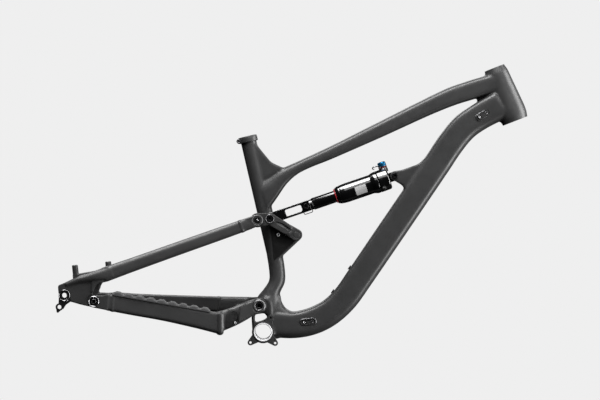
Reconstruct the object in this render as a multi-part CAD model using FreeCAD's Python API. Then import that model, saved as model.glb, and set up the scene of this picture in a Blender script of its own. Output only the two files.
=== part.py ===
"""Full-suspension bicycle frame: front triangle, four-bar rear end, rocker link and air shock.

Frame of reference, in millimetres: the origin is the centre of the bottom bracket, +X points
forward, +Y to the rider's left (the drive side is -Y) and +Z up. The rear end is fully extended.
Places in the frame's mid-plane are written (x, z).
"""
import FreeCAD, Part
import math
import os

# ---- Hard points of the frame, (x, z) ------------------------------------------------------------
MAIN_PIVOT = (-13.7, 56.5)
DROPOUT_PIVOT = (-368.3, 35.8)
REAR_AXLE = (-432.1, 43.5)
STAY_PIVOT = (-34.3, 241.3)
YOKE_PIVOT = (-7.7, 247.2)
ROCKER_PIVOT = (53.4, 217.0)
SHOCK_FRONT_EYE = (255.4, 364.8)
HANGER_HOLE = (-440.5, 17.5)

# ---- Head tube -----------------------------------------------------------------------------------
HEAD_TOP = (451.7, 620.3)
HEAD_ANGLE = 63.4
HEAD_LENGTH = 125.0
UPPER_CUP_RADIUS = 20.9
LOWER_CUP_RADIUS = 26.0
UPPER_CUP_DEPTH = 6.0
LOWER_CUP_DEPTH = 8.0

# ---- Seat tube -----------------------------------------------------------------------------------
SEAT_TOP = (-71.5, 416.4)
SEAT_BOTTOM = (8.5, 174.0)
SEAT_RADIUS = 17.3
SEATPOST_RADIUS = 15.45
CLAMP_RADIUS = 20.8
CLAMP_HEIGHT = 14.0
CLAMP_LIP = 4.0
CLAMP_BOLT_RADIUS = 2.6
CLAMP_BOLT_REACH = 23.5
CLAMP_LUG_HALF_WIDTH = 9.0

# ---- Bottom bracket and main pivot ---------------------------------------------------------------
SHELL_HALF_WIDTH = 36.5
SHELL_RADIUS = 20.25
SHELL_BORE_RADIUS = 17.4
BRACKET_HALF_WIDTH = 28.0
GUIDE_THICKNESS = 5.5
GUIDE_HOLE_REACH = 35.5
GUIDE_HOLE_RADIUS = 2.6
GUIDE_TAB_ANGLES = (66.8, 224.7, 323.2)
MAIN_AXLE_RADIUS = 7.5
MAIN_AXLE_SOCKET_RADIUS = 4.0
MAIN_AXLE_SOCKET_DEPTH = 6.0
MAIN_BEARING_RADIUS = 14.0
MAIN_BEARING_WIDTH = 7.0
MAIN_CAP_INNER_RADIUS = 9.2
MAIN_CAP_OUTER_RADIUS = 12.4
BRACKET_WALL = 6.0

# ---- Rear end, distances from the mid-plane ------------------------------------------------------
YOKE_EYE_INNER = 28.6
YOKE_EYE_OUTER = 42.0
YOKE_EYE_RADIUS = 16.5
DROPOUT_INNER = 74.0
DROPOUT_OUTER = 84.0
PIVOT_TAB_OUTER = 82.0
CLEVIS_INNER = 68.0
CLEVIS_OUTER = 88.0
CLEVIS_GAP = 0.5
CLEVIS_RADIUS = 13.0
DROPOUT_BOLT_HEAD_RADIUS = 9.0
DROPOUT_BOLT_HEAD_DEPTH = 2.5
REAR_AXLE_RADIUS = 6.05
HANGER_THICKNESS = 7.0
HANGER_BOLT = (-426.0, 33.5)
HANGER_BOLT_RADIUS = 1.6
HANGER_BOLT_HEAD_RADIUS = 3.0
HANGER_RING_RADIUS = 12.4
HANGER_THREAD_RADIUS = 4.4
BRAKE_POST_SPACING = 74.2
BRAKE_POST_TILT = 11.3
BRAKE_POST_Y = 65.5
BRAKE_POST_RADIUS = 6.8
BRAKE_THREAD_RADIUS = 2.5
BRAKE_THREAD_DEPTH = 16.0
REAR_POST_TOP = (-430.4, 105.0)
SEATSTAY_SLOPE = 24.6
BRIDGE_DISTANCE = 75.0
PROTECTOR_RIBS = 9

# ---- Rocker link ---------------------------------------------------------------------------------
ROCKER_INNER = 28.0
ROCKER_OUTER = 37.0
ROCKER_TIP_INNER = 19.0
ROCKER_TIP_OUTER = 31.0
ROCKER_KNEE = (30.0, 228.5)
ROCKER_BRIDGE = (28.0, 231.0)
STAY_END_INNER = 38.0
STAY_END_OUTER = 48.0
BRACKET_TIP_HALF_WIDTH = 18.0
BRACKET_SCREW = (13.5, 214.0)
LINK_BOLT_RADIUS = 4.0
LINK_BOLT_HEAD_RADIUS = 6.5
LINK_SOCKET_RADIUS = 2.6
YOKE_BOLT_HEAD_RADIUS = 9.5
YOKE_BOLT_SOCKET_RADIUS = 3.0
PIVOT_AXLE_RADIUS = 5.0
SMALL_BEARING_RADIUS = 9.5

# ---- Shock, distances from the front eye along its axis and from that axis ------------------------
SHOCK_STROKE = 50.0
HEAD_START = 12.5
HEAD_END = 38.0
SPIGOT_LENGTH = 8.0
CAN_MOUTH = 134.5
SHAFT_SHOULDER = 189.6
YOKE_BLOCK_START = 196.0
YOKE_BLOCK_END = 215.0
YOKE_WINDOW_END = 252.0
YOKE_HALF_HEIGHT = 12.0
YOKE_WINDOW_HALF_HEIGHT = 7.0
YOKE_ARM_INNER = 20.0
YOKE_ARM_OUTER = 27.0
YOKE_EYE_BORE = 9.0
SHAFT_RADIUS = 13.5
SHAFT_STUD_RADIUS = 8.0
SHAFT_STUD_END = 212.0
SHAFT_BOLT_DISTANCE = 205.5
PISTON_RADIUS = 18.0
PISTON_LENGTH = 7.0
EYE_BUSHING_RADIUS = 7.0
EYE_HALF_WIDTH = 11.0
CONTROL_DISTANCE = 18.5
CONTROL_POST_RADIUS = 4.0
VALVE_DISTANCE = 31.0
VALVE_RADIUS = 3.0

RUNNING_CLEARANCE = 0.05
TUBE_WALL = 2.2
DRIVE = -1
NON_DRIVE = 1

nodes = {}


# ---- Helpers -------------------------------------------------------------------------------------
def vec(place, y=0.0):
    """A place (x, z) in the mid-plane, moved sideways to y."""
    return FreeCAD.Vector(place[0], y, place[1])


def along(start, direction, distance):
    """The place (x, z) at a distance from start."""
    return (start[0] + direction[0] * distance, start[1] + direction[1] * distance)


def unit(start, end):
    """The direction (x, z) from start to end."""
    length = math.hypot(end[0] - start[0], end[1] - start[1])
    return ((end[0] - start[0]) / length, (end[1] - start[1]) / length)


def disc(place, radius, y_low, y_high):
    """A cylinder along Y."""
    return Part.makeCylinder(radius, y_high - y_low, vec(place, y_low), FreeCAD.Vector(0, 1, 0))


def rod(start, end, radius):
    """A cylinder between two vectors."""
    span = end - start
    return Part.makeCylinder(radius, span.Length, start, span)


def ring(place, inner, outer, y_low, y_high):
    """A hollow cylinder along Y."""
    return disc(place, outer, y_low, y_high).cut(disc(place, inner, y_low - 1, y_high + 1))


def plate(corners, y_low, y_high):
    """A flat plate across Y. Each corner is (x, z) or (x, z, radius)."""
    count = len(corners)
    edges = []
    ends = []
    for i, corner in enumerate(corners):
        here = vec(corner)
        radius = corner[2] if len(corner) == 3 else 0.0
        if radius == 0.0:
            ends.append((here, here))
            continue
        before = vec(corners[i - 1]) - here
        after = vec(corners[(i + 1) % count]) - here
        before.normalize()
        after.normalize()
        half_angle = before.getAngle(after) / 2
        trim = radius / math.tan(half_angle)
        middle = before + after
        middle.normalize()
        arc_start = here + before * trim
        arc_end = here + after * trim
        centre = here + middle * (radius / math.sin(half_angle))
        arc_middle = centre - middle * radius
        edges.append(Part.Arc(arc_start, arc_middle, arc_end).toShape())
        ends.append((arc_start, arc_end))
    for i in range(count):
        start = ends[i][1]
        end = ends[(i + 1) % count][0]
        if (end - start).Length > 0.001:
            edges.append(Part.makeLine(start, end))
    wire = Part.Wire(Part.__sortEdges__(edges))
    face = Part.Face(wire)
    face.translate(FreeCAD.Vector(0, y_low, 0))
    return face.extrude(FreeCAD.Vector(0, y_high - y_low, 0))


def link(first, first_radius, second, second_radius, y_low, y_high):
    """Two discs across Y, joined by their outer tangents."""
    axis = unit(first, second)
    distance = math.hypot(second[0] - first[0], second[1] - first[1])
    lean = math.asin((first_radius - second_radius) / distance)
    heading = math.atan2(axis[1], axis[0])
    corners = []
    for side in (1, -1):
        angle = heading + side * (math.pi / 2 - lean)
        direction = (math.cos(angle), math.sin(angle))
        pair = [along(first, direction, first_radius), along(second, direction, second_radius)]
        corners += pair if side == 1 else pair[::-1]
    web = plate(corners, y_low, y_high)
    ends = [disc(first, first_radius, y_low, y_high), disc(second, second_radius, y_low, y_high)]
    return web.fuse(ends).removeSplitter()


def revolve(start, direction, profile):
    """A turned solid. The profile is a list of (distance along the axis, radius)."""
    side = direction.cross(FreeCAD.Vector(0, 1, 0))
    if side.Length < 0.001:
        side = FreeCAD.Vector(1, 0, 0)
    side.normalize()
    points = [start + direction * s + side * r for s, r in profile]
    face = Part.Face(Part.makePolygon(points + [points[0]]))
    return face.revolve(start, direction, 360)


def turned(start, direction, outer, inner=None):
    """A turned solid from its outer profile, hollow where inner is given."""
    closing = inner[::-1] if inner else [(outer[-1][0], 0), (outer[0][0], 0)]
    return revolve(start, direction, outer + closing)


def section(station, inset, power):
    """A closed curve, between an ellipse and a rectangle, round one station of a tube."""
    x, z, y, pitch, half_depth, half_width = station
    depth_axis = FreeCAD.Vector(-math.sin(math.radians(pitch)), 0, math.cos(math.radians(pitch)))
    width_axis = FreeCAD.Vector(0, 1, 0)
    points = []
    steps = 20
    for i in range(steps):
        angle = 2 * math.pi * i / steps
        c = math.cos(angle)
        s = math.sin(angle)
        across = math.copysign(abs(c) ** (2 / power), c) * (half_width - inset)
        deep = math.copysign(abs(s) ** (2 / power), s) * (half_depth - inset)
        points.append(FreeCAD.Vector(x, y, z) + width_axis * across + depth_axis * deep)
    curve = Part.BSplineCurve()
    curve.interpolate(Points=points, PeriodicFlag=True)
    return Part.Wire(curve.toShape())


def loft(stations, inset=0.0, power=2.5):
    """A solid through stations (x, z, y, pitch, half depth, half width), facing outwards."""
    solid = Part.makeLoft([section(s, inset, power) for s in stations], True, False)
    if solid.Volume < 0:
        solid.reverse()
    return solid


def tube(stations, wall=TUBE_WALL, power=2.5):
    """A tube's solid envelope and the hollow tube itself."""
    envelope = loft(stations, 0.0, power)
    return envelope, envelope.cut(loft(stations, wall, power))


def mirror(shape):
    """The same shape on the other side of the mid-plane."""
    return shape.mirror(FreeCAD.Vector(0, 0, 0), FreeCAD.Vector(0, 1, 0))


def both_sides(shape):
    """Two separate solids, one on each side."""
    return [shape, mirror(shape)]


def on_side(shape, side):
    """A shape modelled at +Y, put on the drive or non-drive side."""
    return mirror(shape) if side == DRIVE else shape


def fuse(shapes):
    """One solid out of several."""
    return shapes[0].fuse(shapes[1:]).removeSplitter()


def keep(name, shape):
    """Store a node: one shape, or a list of separate solids."""
    parts = shape if isinstance(shape, list) else [shape]
    solids = [solid for part in parts for solid in part.Solids]
    nodes[name] = solids


def main_solid(shape):
    """The largest solid of a cut shape, without the offcuts."""
    return max(shape.Solids, key=lambda solid: solid.Volume)


# ---- Directions ----------------------------------------------------------------------------------
head_down = (math.cos(math.radians(-HEAD_ANGLE)), math.sin(math.radians(-HEAD_ANGLE)))
head_axis = FreeCAD.Vector(head_down[0], 0, head_down[1])
seat_down = unit(SEAT_TOP, SEAT_BOTTOM)
seat_axis = FreeCAD.Vector(seat_down[0], 0, seat_down[1])
seat_length = math.hypot(SEAT_BOTTOM[0] - SEAT_TOP[0], SEAT_BOTTOM[1] - SEAT_TOP[1])
seat_pitch = math.degrees(math.atan2(seat_down[1], seat_down[0]))
shock_back = unit(SHOCK_FRONT_EYE, YOKE_PIVOT)
shock_up = (shock_back[1], -shock_back[0])
shock_axis = FreeCAD.Vector(shock_back[0], 0, shock_back[1])
shock_up_axis = FreeCAD.Vector(shock_up[0], 0, shock_up[1])
shock_length = math.hypot(YOKE_PIVOT[0] - SHOCK_FRONT_EYE[0], YOKE_PIVOT[1] - SHOCK_FRONT_EYE[1])


def shock_place(distance, height=0.0):
    """A place (x, z) on the shock: distance from the front eye, and height above its axis."""
    return along(along(SHOCK_FRONT_EYE, shock_back, distance), shock_up, height)


# ---- Front triangle ------------------------------------------------------------------------------
def make_head_tube():
    outer = [(0, 22.6), (13, 26.0), (22, 26.6), (98, 31.5), (113, 31.2), (HEAD_LENGTH, 28.4)]
    lower_ledge = HEAD_LENGTH - LOWER_CUP_DEPTH
    inner = [(0, UPPER_CUP_RADIUS), (UPPER_CUP_DEPTH, UPPER_CUP_RADIUS), (UPPER_CUP_DEPTH, 18.5),
             (20, 22.5), (98, 27.0), (lower_ledge, 24.0), (lower_ledge, LOWER_CUP_RADIUS),
             (HEAD_LENGTH, LOWER_CUP_RADIUS)]
    top = vec(HEAD_TOP)
    keep("head_tube", turned(top, head_axis, outer, inner))
    return turned(top, head_axis, outer)


def make_seat_tube():
    top = vec(SEAT_TOP)
    outer = [(0, SEAT_RADIUS), (seat_length, SEAT_RADIUS)]
    inner = [(0, SEATPOST_RADIUS), (seat_length, SEATPOST_RADIUS)]
    keep("seat_tube", turned(top, seat_axis, outer, inner))
    return turned(top, seat_axis, outer)


def make_bottom_bracket():
    """The threaded shell, and the forged bracket that holds it, the tubes and the main pivot."""
    shell_ends = (-SHELL_HALF_WIDTH, SHELL_HALF_WIDTH)
    keep("bb_shell", ring((0, 0), SHELL_BORE_RADIUS, SHELL_RADIUS, *shell_ends))
    shell = disc((0, 0), SHELL_RADIUS, *shell_ends)
    half = BRACKET_HALF_WIDTH
    wall = BRACKET_WALL
    outline = [(-27.5, 60, 3), (-28.2, 30, 8), (-23, -4, 8), (0, -22, 4), (18, -15), (37, -11.5, 2),
               (37, 38), (66, 43), (72, 48.5), (38.5, 49.5, 28), (30.5, 82), (-8, 73, 4)]
    cavity = [(-8, 66, 2), (24, 66, 3), (30, 58, 3), (30, -4, 3), (17, 17, 3), (12, 42, 3)]
    window = [(-21.5, 36, 2.5), (-3, 40.5, 2.5), (5, 40.5, 2), (6.5, 31, 2), (0, 25, 3), (-7, 21.6, 3),
              (-16, 18, 1.5), (-20.8, 19, 2)]
    solid = fuse([plate(outline, -half, half), disc(MAIN_PIVOT, MAIN_BEARING_RADIUS + 1, -half, half),
                  disc((0, 0), SHELL_RADIUS + 3.15, -half, half)])
    solid = solid.cut(shell)
    hollow = solid.cut(plate(cavity, -half + wall, half - wall))
    hollow = hollow.cut(plate(window, -half - 1, half + 1))
    hollow = hollow.cut(disc(MAIN_PIVOT, MAIN_AXLE_RADIUS, -half - 1, half + 1))
    keep("bb_bracket", main_solid(hollow))
    make_chain_guide_mount(shell)
    return fuse([solid, shell])


def make_chain_guide_mount(shell):
    """A ring with three threaded tabs for a chain guide, on the drive side of the shell."""
    y_low = -BRACKET_HALF_WIDTH - GUIDE_THICKNESS
    y_high = -BRACKET_HALF_WIDTH
    shapes = [disc((0, 0), SHELL_RADIUS + 3.95, y_low, y_high)]
    holes = []
    for angle in GUIDE_TAB_ANGLES:
        tab = along((0, 0), (math.cos(math.radians(angle)), math.sin(math.radians(angle))),
                    GUIDE_HOLE_REACH)
        shapes.append(link((0, 0), 16, tab, 6.2, y_low, y_high))
        holes.append(disc(tab, GUIDE_HOLE_RADIUS, y_low - 1, y_high + 1))
    keep("chain_guide_mount", main_solid(fuse(shapes).cut(shell).cut(fuse(holes))))


def make_seat_tube_lower(cutters):
    stations = [(SEAT_BOTTOM[0], SEAT_BOTTOM[1], 0, seat_pitch, SEAT_RADIUS, SEAT_RADIUS),
                (17.5, 138, 0, -79, 17.4, 18.5),
                (20.0, 112, 0, -90, 17.5, 20.5),
                (10.3, 88, 0, -98, 18.8, 24.0),
                (5.5, 66, 0, -98, 27.0, 27.6)]
    envelope, hollow = tube(stations, wall=2.4, power=2.2)
    keep("seat_tube_lower", main_solid(hollow.cut(cutters)))
    return envelope


DOWN_TUBE = [(30, 18.5, 0, 2, 29.0, 28.5),
             (62, 20, 0, 4, 28.8, 28.5),
             (92, 27, 0, 12, 29.6, 27.5),
             (120, 40, 0, 26, 29.8, 26.5),
             (146, 60.5, 0, 40, 29.0, 26.0),
             (171, 92, 0, 53, 29.0, 25.5),
             (197.4, 132.7, 0, 60.5, 29.0, 25.0),
             (255.7, 237.6, 0, 61, 29.0, 24.5),
             (314.0, 342.5, 0, 61, 29.0, 24.5),
             (348.0, 403.7, 0, 61, 29.2, 25.0),
             (371.0, 444.0, 0, 57.5, 29.6, 25.5),
             (399.0, 481.5, 0, 47.5, 30.0, 26.0),
             (429.0, 509.5, 0, 38, 29.8, 26.0),
             (472.0, 540.5, 0, 32, 32.0, 24.5)]


def make_down_tube(cutters, pockets):
    envelope, hollow = tube(DOWN_TUBE, power=2.7)
    keep("down_tube", main_solid(hollow.cut(cutters).cut(pockets)))
    return envelope


def make_top_tube(cutters):
    stations = [(-27, 298, 0, 20, 37.0, 19.0),
                (-8.7, 317.3, 0, 26, 27.1, 19.5),
                (14, 342.5, 0, 31, 17.5, 20.0),
                (44, 365, 0, 30.5, 12.2, 20.0),
                (111.5, 402.5, 0, 29.5, 13.4, 20.0),
                (211.5, 461, 0, 30.5, 16.4, 21.0),
                (311.5, 520.5, 0, 30.0, 18.6, 22.0),
                (362, 548.5, 0, 28, 20.4, 22.5),
                (396, 563.5, 0, 23.5, 21.0, 22.5),
                (429.5, 576.8, 0, 22.5, 21.5, 22.5),
                (464, 590, 0, 22, 22.0, 22.0)]
    envelope, hollow = tube(stations, wall=1.9, power=2.6)
    keep("top_tube", main_solid(hollow.cut(cutters)))
    return envelope


def make_seat_gusset(cutters):
    """The web that braces the top of the seat tube against the top tube."""
    outline = [(-74, 408), (-52, 407, 4), (-38, 392, 30), (-16, 370, 30), (10, 361), (0, 335),
               (-40, 325)]
    solid = plate(outline, -13, 13)
    keep("seat_gusset", main_solid(solid.cut(cutters)))


def make_rocker_bracket(cutters):
    """The forged outrigger in front of the seat tube that carries the rocker's pivot."""
    half = BRACKET_TIP_HALF_WIDTH
    outline = [(-12, 238), (20, 222.5, 8), (46, 206), (62, 207.5), (26, 167, 6), (6, 148)]
    solid = fuse([plate(outline, -half, half), disc(ROCKER_PIVOT, 12.9, -half, half)])
    pocket = plate([(14, 212, 3), (32, 205, 3), (42, 194, 3), (28, 180, 3), (16, 186, 3)], -8, 8)
    bore = disc(ROCKER_PIVOT, PIVOT_AXLE_RADIUS, -half - 1, half + 1)
    screw_radius = 2.5
    screw_hole = disc(BRACKET_SCREW, screw_radius, -half - 1, -half + 8)
    keep("rocker_bracket", main_solid(solid.cut(cutters).cut(pocket).cut(bore).cut(screw_hole)))
    screw = fuse([disc(BRACKET_SCREW, screw_radius, -half, -half + 7),
                  disc(BRACKET_SCREW, screw_radius + 1.5, -half - 2.5, -half)])
    socket = disc(BRACKET_SCREW, screw_radius - 0.9, -half - 3, -half - 1)
    keep("bracket_screw", screw.cut(socket))
    axle_end = ROCKER_TIP_OUTER - 5
    keep("rocker_pivot_axle", disc(ROCKER_PIVOT, PIVOT_AXLE_RADIUS, -axle_end, axle_end))


def make_shock_mount(cutters):
    """The gusset on the down tube whose two ears hold the shock's front eye."""
    half = 19.0
    outline = [(254, 375.5), (270, 379.5, 20), (306, 396, 40), (330, 424), (320, 370), (288, 325),
               (275, 346, 14), (257, 354.3)]
    solid = fuse([plate(outline, -half, half), disc(SHOCK_FRONT_EYE, 10.6, -half, half)])
    slot_half = EYE_HALF_WIDTH + 0.4
    slot = disc(SHOCK_FRONT_EYE, 14.5, -slot_half, slot_half)
    bore = disc(SHOCK_FRONT_EYE, LINK_BOLT_RADIUS, -half - 1, half + 1)
    keep("shock_mount", main_solid(solid.cut(cutters).cut(slot).cut(bore)))
    shank = disc(SHOCK_FRONT_EYE, LINK_BOLT_RADIUS, -half, half)
    head = disc(SHOCK_FRONT_EYE, LINK_BOLT_HEAD_RADIUS, -half - 4, -half)
    nut = disc(SHOCK_FRONT_EYE, LINK_BOLT_HEAD_RADIUS, half, half + 4)
    socket = disc(SHOCK_FRONT_EYE, LINK_SOCKET_RADIUS, -half - 5, -half - 1)
    keep("shock_front_bolt", fuse([shank, head, nut]).cut(socket))


def make_seat_clamp():
    """The split collar at the top of the seat tube, with its pinch bolt behind."""
    top = vec(SEAT_TOP)
    foot = CLAMP_HEIGHT - CLAMP_LIP
    lip_bore = SEATPOST_RADIUS + 0.6
    collar = turned(top, seat_axis, [(-CLAMP_LIP, CLAMP_RADIUS), (foot, CLAMP_RADIUS)],
                    [(-CLAMP_LIP, lip_bore), (0, lip_bore), (0, SEAT_RADIUS), (foot, SEAT_RADIUS)])
    back = (seat_down[1], -seat_down[0])

    def behind(drop, reach):
        return along(along(SEAT_TOP, seat_down, drop), back, reach)

    half = CLAMP_LUG_HALF_WIDTH
    lugs = plate([behind(-CLAMP_LIP, 18), behind(-CLAMP_LIP, 28.5), behind(foot, 28.5), behind(foot, 18)],
                 -half, half)
    tube_space = turned(top, seat_axis, [(-20, SEAT_RADIUS), (40, SEAT_RADIUS)])
    slit = plate([behind(-10, 0), behind(-10, 40), behind(30, 40), behind(30, 0)], -1, 1)
    bolt_place = behind(CLAMP_HEIGHT / 2 - CLAMP_LIP, CLAMP_BOLT_REACH)
    shank = disc(bolt_place, CLAMP_BOLT_RADIUS, -half, half)
    body = fuse([collar, lugs.cut(tube_space)])
    keep("seat_clamp", main_solid(body.cut(slit).cut(shank)))
    bolt = fuse([shank, disc(bolt_place, CLAMP_BOLT_RADIUS + 1.9, -half - 4, -half),
                 disc(bolt_place, CLAMP_BOLT_RADIUS + 1.9, half, half + 3)])
    keep("seat_clamp_bolt", bolt.cut(disc(bolt_place, 2.0, -half - 5, -half - 1.5)))


def cable_port(centre, pitch, surface_y):
    """A pill-shaped grommet in the drive side of the down tube, with its screw and its pocket."""
    direction = (math.cos(math.radians(pitch)), math.sin(math.radians(pitch)))
    front = along(centre, direction, 11)
    rear = along(centre, direction, -11)
    pill_radius = 6.5
    pill = link(front, pill_radius, rear, pill_radius, -surface_y - 1.4, -surface_y + 7.0)
    screw_place = along(centre, direction, -8.5)
    screw = fuse([disc(screw_place, 1.5, -surface_y, -surface_y + 5),
                  disc(screw_place, 2.8, -surface_y - 2.6, -surface_y)])
    mouth_radius = 2.6
    mouth = link(along(centre, direction, 9), mouth_radius, centre, mouth_radius, -surface_y - 3,
                 -surface_y + 3)
    return pill.cut(mouth).cut(screw), screw, pill


def make_cable_ports():
    upper, upper_screw, upper_pocket = cable_port((434, 514), 38, 25.9)
    lower, lower_screw, lower_pocket = cable_port((95, 31), 12, 27.6)
    keep("cable_port_upper", upper)
    keep("cable_port_lower", lower)
    keep("cable_port_screws", [upper_screw, lower_screw])
    return [upper_pocket, lower_pocket]


def make_bottle_bosses():
    """Two threaded inserts, 64 mm apart, in the upper face of the down tube."""
    normal = (-math.sin(math.radians(60)), math.cos(math.radians(60)))
    slope = (normal[1], -normal[0])
    first = (143.6, 100.8)
    outer = [(-10, 4.2), (0, 4.2), (0, 5.6), (1.6, 5.0)]
    inner = [(-10, 2.1), (1.6, 2.1)]
    bosses = []
    envelopes = []
    for step in (0, 64):
        foot = vec(along(first, slope, step))
        axis = FreeCAD.Vector(normal[0], 0, normal[1])
        bosses.append(turned(foot, axis, outer, inner))
        envelopes.append(turned(foot, axis, [(-12, 4.2), (0, 4.2), (0, 5.6), (8, 5.6)]))
    keep("bottle_bosses", bosses)
    return envelopes


def make_front_triangle():
    head = make_head_tube()
    seat = make_seat_tube()
    bottom = make_bottom_bracket()
    lower = make_seat_tube_lower([bottom])
    pockets = make_cable_ports() + make_bottle_bosses()
    down = make_down_tube([head, bottom, lower], pockets)
    top = make_top_tube([head, seat, down])
    make_seat_clamp()
    clamp_space = turned(vec(SEAT_TOP), seat_axis,
                         [(-CLAMP_LIP, CLAMP_RADIUS), (CLAMP_HEIGHT - CLAMP_LIP, CLAMP_RADIUS)])
    make_seat_gusset([seat, top, clamp_space])
    make_rocker_bracket([seat, lower])
    make_shock_mount([down])
    end = YOKE_EYE_OUTER - 0.5
    axle = disc(MAIN_PIVOT, MAIN_AXLE_RADIUS, -end, end)
    socket = disc(MAIN_PIVOT, MAIN_AXLE_SOCKET_RADIUS, end - MAIN_AXLE_SOCKET_DEPTH, end + 1)
    keep("main_pivot_axle", axle.cut(socket).cut(mirror(socket)))


# ---- Chainstay assembly --------------------------------------------------------------------------
DRIVE_STAY = [(-104, 12.0, 46.0, 6, 23.2, 9.5),
              (-149, 17.5, 51.0, 7, 21.2, 10.0),
              (-219, 25.8, 60.0, 6, 19.6, 10.0),
              (-289, 32.2, 69.5, 5, 19.2, 9.8),
              (-338, 36.9, 77.5, 0, 18.4, 9.6)]
NON_DRIVE_STAY = [(-104, 47.5, 46.0, -3, 18.0, 9.5),
                  (-149, 45.0, 51.0, -3, 17.6, 10.0),
                  (-219, 41.0, 60.0, -3, 17.0, 10.0),
                  (-289, 37.5, 69.5, -2, 16.5, 9.8),
                  (-338, 36.2, 77.5, 0, 16.5, 9.6)]


def make_chainstay_yoke():
    """The forging behind the main pivot: two eyes, two arms and the bridge in front of the tyre."""
    arms = []
    for side, stay, first, middle_drop in (
            (DRIVE, DRIVE_STAY, (-30, 50.8, 35.5, 27, 16.8, 6.5), 2.6),
            (NON_DRIVE, NON_DRIVE_STAY, (-30, 56.0, 35.5, 10, 15.5, 6.5), 0)):
        last = stay[0]
        middle = (-66, (first[1] + last[1]) / 2 - middle_drop, 39.5, first[3] - 4,
                  (first[4] + last[4]) / 2, 8.0)
        arm = loft([last, middle, first], 0.0, 2.8)
        eye = link(MAIN_PIVOT, YOKE_EYE_RADIUS, (first[0] - 2, first[1]), first[4] - 1,
                   YOKE_EYE_INNER, YOKE_EYE_OUTER)
        arms.append(on_side(fuse([arm, eye]), side))
    bridge = plate([(-42, 53, 5), (-42, 24, 5), (-66, 18, 5), (-66, 50, 5)], -36, 36)
    body = fuse(arms + [bridge])
    bearing_start = YOKE_EYE_OUTER - MAIN_BEARING_WIDTH - 1
    bearing_seat = disc(MAIN_PIVOT, MAIN_BEARING_RADIUS, bearing_start, YOKE_EYE_OUTER + 1)
    shaft_hole = disc(MAIN_PIVOT, MAIN_AXLE_RADIUS + 2, YOKE_EYE_INNER - 1, YOKE_EYE_OUTER)
    for cutter in (bearing_seat, shaft_hole):
        body = body.cut(cutter).cut(mirror(cutter))
    clear_bracket = plate([(-28.5, 80), (-28.5, -10), (20, -10), (20, 80)], -YOKE_EYE_INNER,
                          YOKE_EYE_INNER)
    keep("chainstay_yoke", main_solid(body.cut(clear_bracket)))
    bearing = ring(MAIN_PIVOT, MAIN_AXLE_RADIUS + RUNNING_CLEARANCE, MAIN_BEARING_RADIUS,
                   bearing_start, bearing_start + MAIN_BEARING_WIDTH)
    keep("main_pivot_bearings", both_sides(bearing))
    cap = ring(MAIN_PIVOT, MAIN_CAP_INNER_RADIUS, MAIN_CAP_OUTER_RADIUS, YOKE_EYE_OUTER - 1,
               YOKE_EYE_OUTER + 0.8)
    keep("main_pivot_caps", both_sides(cap))


def make_chainstays():
    for name, side, stay in (("chainstay_drive", DRIVE, DRIVE_STAY),
                             ("chainstay_nondrive", NON_DRIVE, NON_DRIVE_STAY)):
        hollow = tube(stay, wall=2.0, power=2.8)[1]
        keep(name, on_side(main_solid(hollow), side))
        lug_name = name.replace("chainstay", "chainstay_lug")
        keep(lug_name, on_side(make_pivot_clevis(stay[-1]), side))


def make_pivot_clevis(last_station):
    """The fork at a chainstay's rear end, with an ear on each side of the dropout's tab."""
    front, middle_z, half_depth = last_station[0], last_station[1], last_station[4] - 1
    body = plate([(front, middle_z + half_depth), (front, middle_z - half_depth),
                  (-352, 21.0, 4), (DROPOUT_PIVOT[0], DROPOUT_PIVOT[1] - CLEVIS_RADIUS),
                  (DROPOUT_PIVOT[0], DROPOUT_PIVOT[1] + CLEVIS_RADIUS), (-352, 49.5, 6)],
                 CLEVIS_INNER, CLEVIS_OUTER)
    body = fuse([body, disc(DROPOUT_PIVOT, CLEVIS_RADIUS, CLEVIS_INNER, CLEVIS_OUTER)])
    slot = link(DROPOUT_PIVOT, CLEVIS_RADIUS + 2.5, (-420, 36), 22, DROPOUT_INNER - CLEVIS_GAP,
                PIVOT_TAB_OUTER + CLEVIS_GAP)
    bore = disc(DROPOUT_PIVOT, PIVOT_AXLE_RADIUS, CLEVIS_INNER - 1, CLEVIS_OUTER + 1)
    head_seat = disc(DROPOUT_PIVOT, DROPOUT_BOLT_HEAD_RADIUS, CLEVIS_OUTER - DROPOUT_BOLT_HEAD_DEPTH,
                     CLEVIS_OUTER + 1)
    return main_solid(body.cut(slot).cut(bore).cut(head_seat))


def make_dropout_pivot_bolts():
    seat = CLEVIS_OUTER - DROPOUT_BOLT_HEAD_DEPTH
    shank = disc(DROPOUT_PIVOT, PIVOT_AXLE_RADIUS, CLEVIS_INNER, seat)
    head = disc(DROPOUT_PIVOT, DROPOUT_BOLT_HEAD_RADIUS, seat, CLEVIS_OUTER + 0.5)
    socket = disc(DROPOUT_PIVOT, 3, seat - 0.5, CLEVIS_OUTER + 1)
    keep("dropout_pivot_bolts", both_sides(fuse([shank, head]).cut(socket)))


def make_chainstay_protector():
    """A ribbed rubber guard along the top of the drive-side chainstay."""
    start = (-118.0, 33.8)
    end = (-330.0, 54.3)
    first_y = 47.5
    last_y = 78.0
    half_width = 9.5
    direction = unit(start, end)
    normal = (direction[1], -direction[0])
    spacing = math.hypot(end[0] - start[0], end[1] - start[1]) / PROTECTOR_RIBS
    ribs = []
    for i in range(PROTECTOR_RIBS):
        low = along(start, direction, spacing * i)
        high = along(low, direction, spacing)
        crest = along(along(low, direction, spacing / 2), normal, 8.6)
        outline = [along(low, normal, -6), along(low, normal, 4.5), along(crest, direction, -5) + (5,),
                   along(crest, direction, 5) + (5,), along(high, normal, 4.5), along(high, normal, -6)]
        middle_y = first_y + (last_y - first_y) * (i + 0.5) / PROTECTOR_RIBS
        ribs.append(plate(outline, middle_y - half_width, middle_y + half_width))
    strip = fuse(ribs).cut(loft(DRIVE_STAY, 0.0, 2.8))
    keep("chainstay_protector", mirror(main_solid(strip)))


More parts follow.
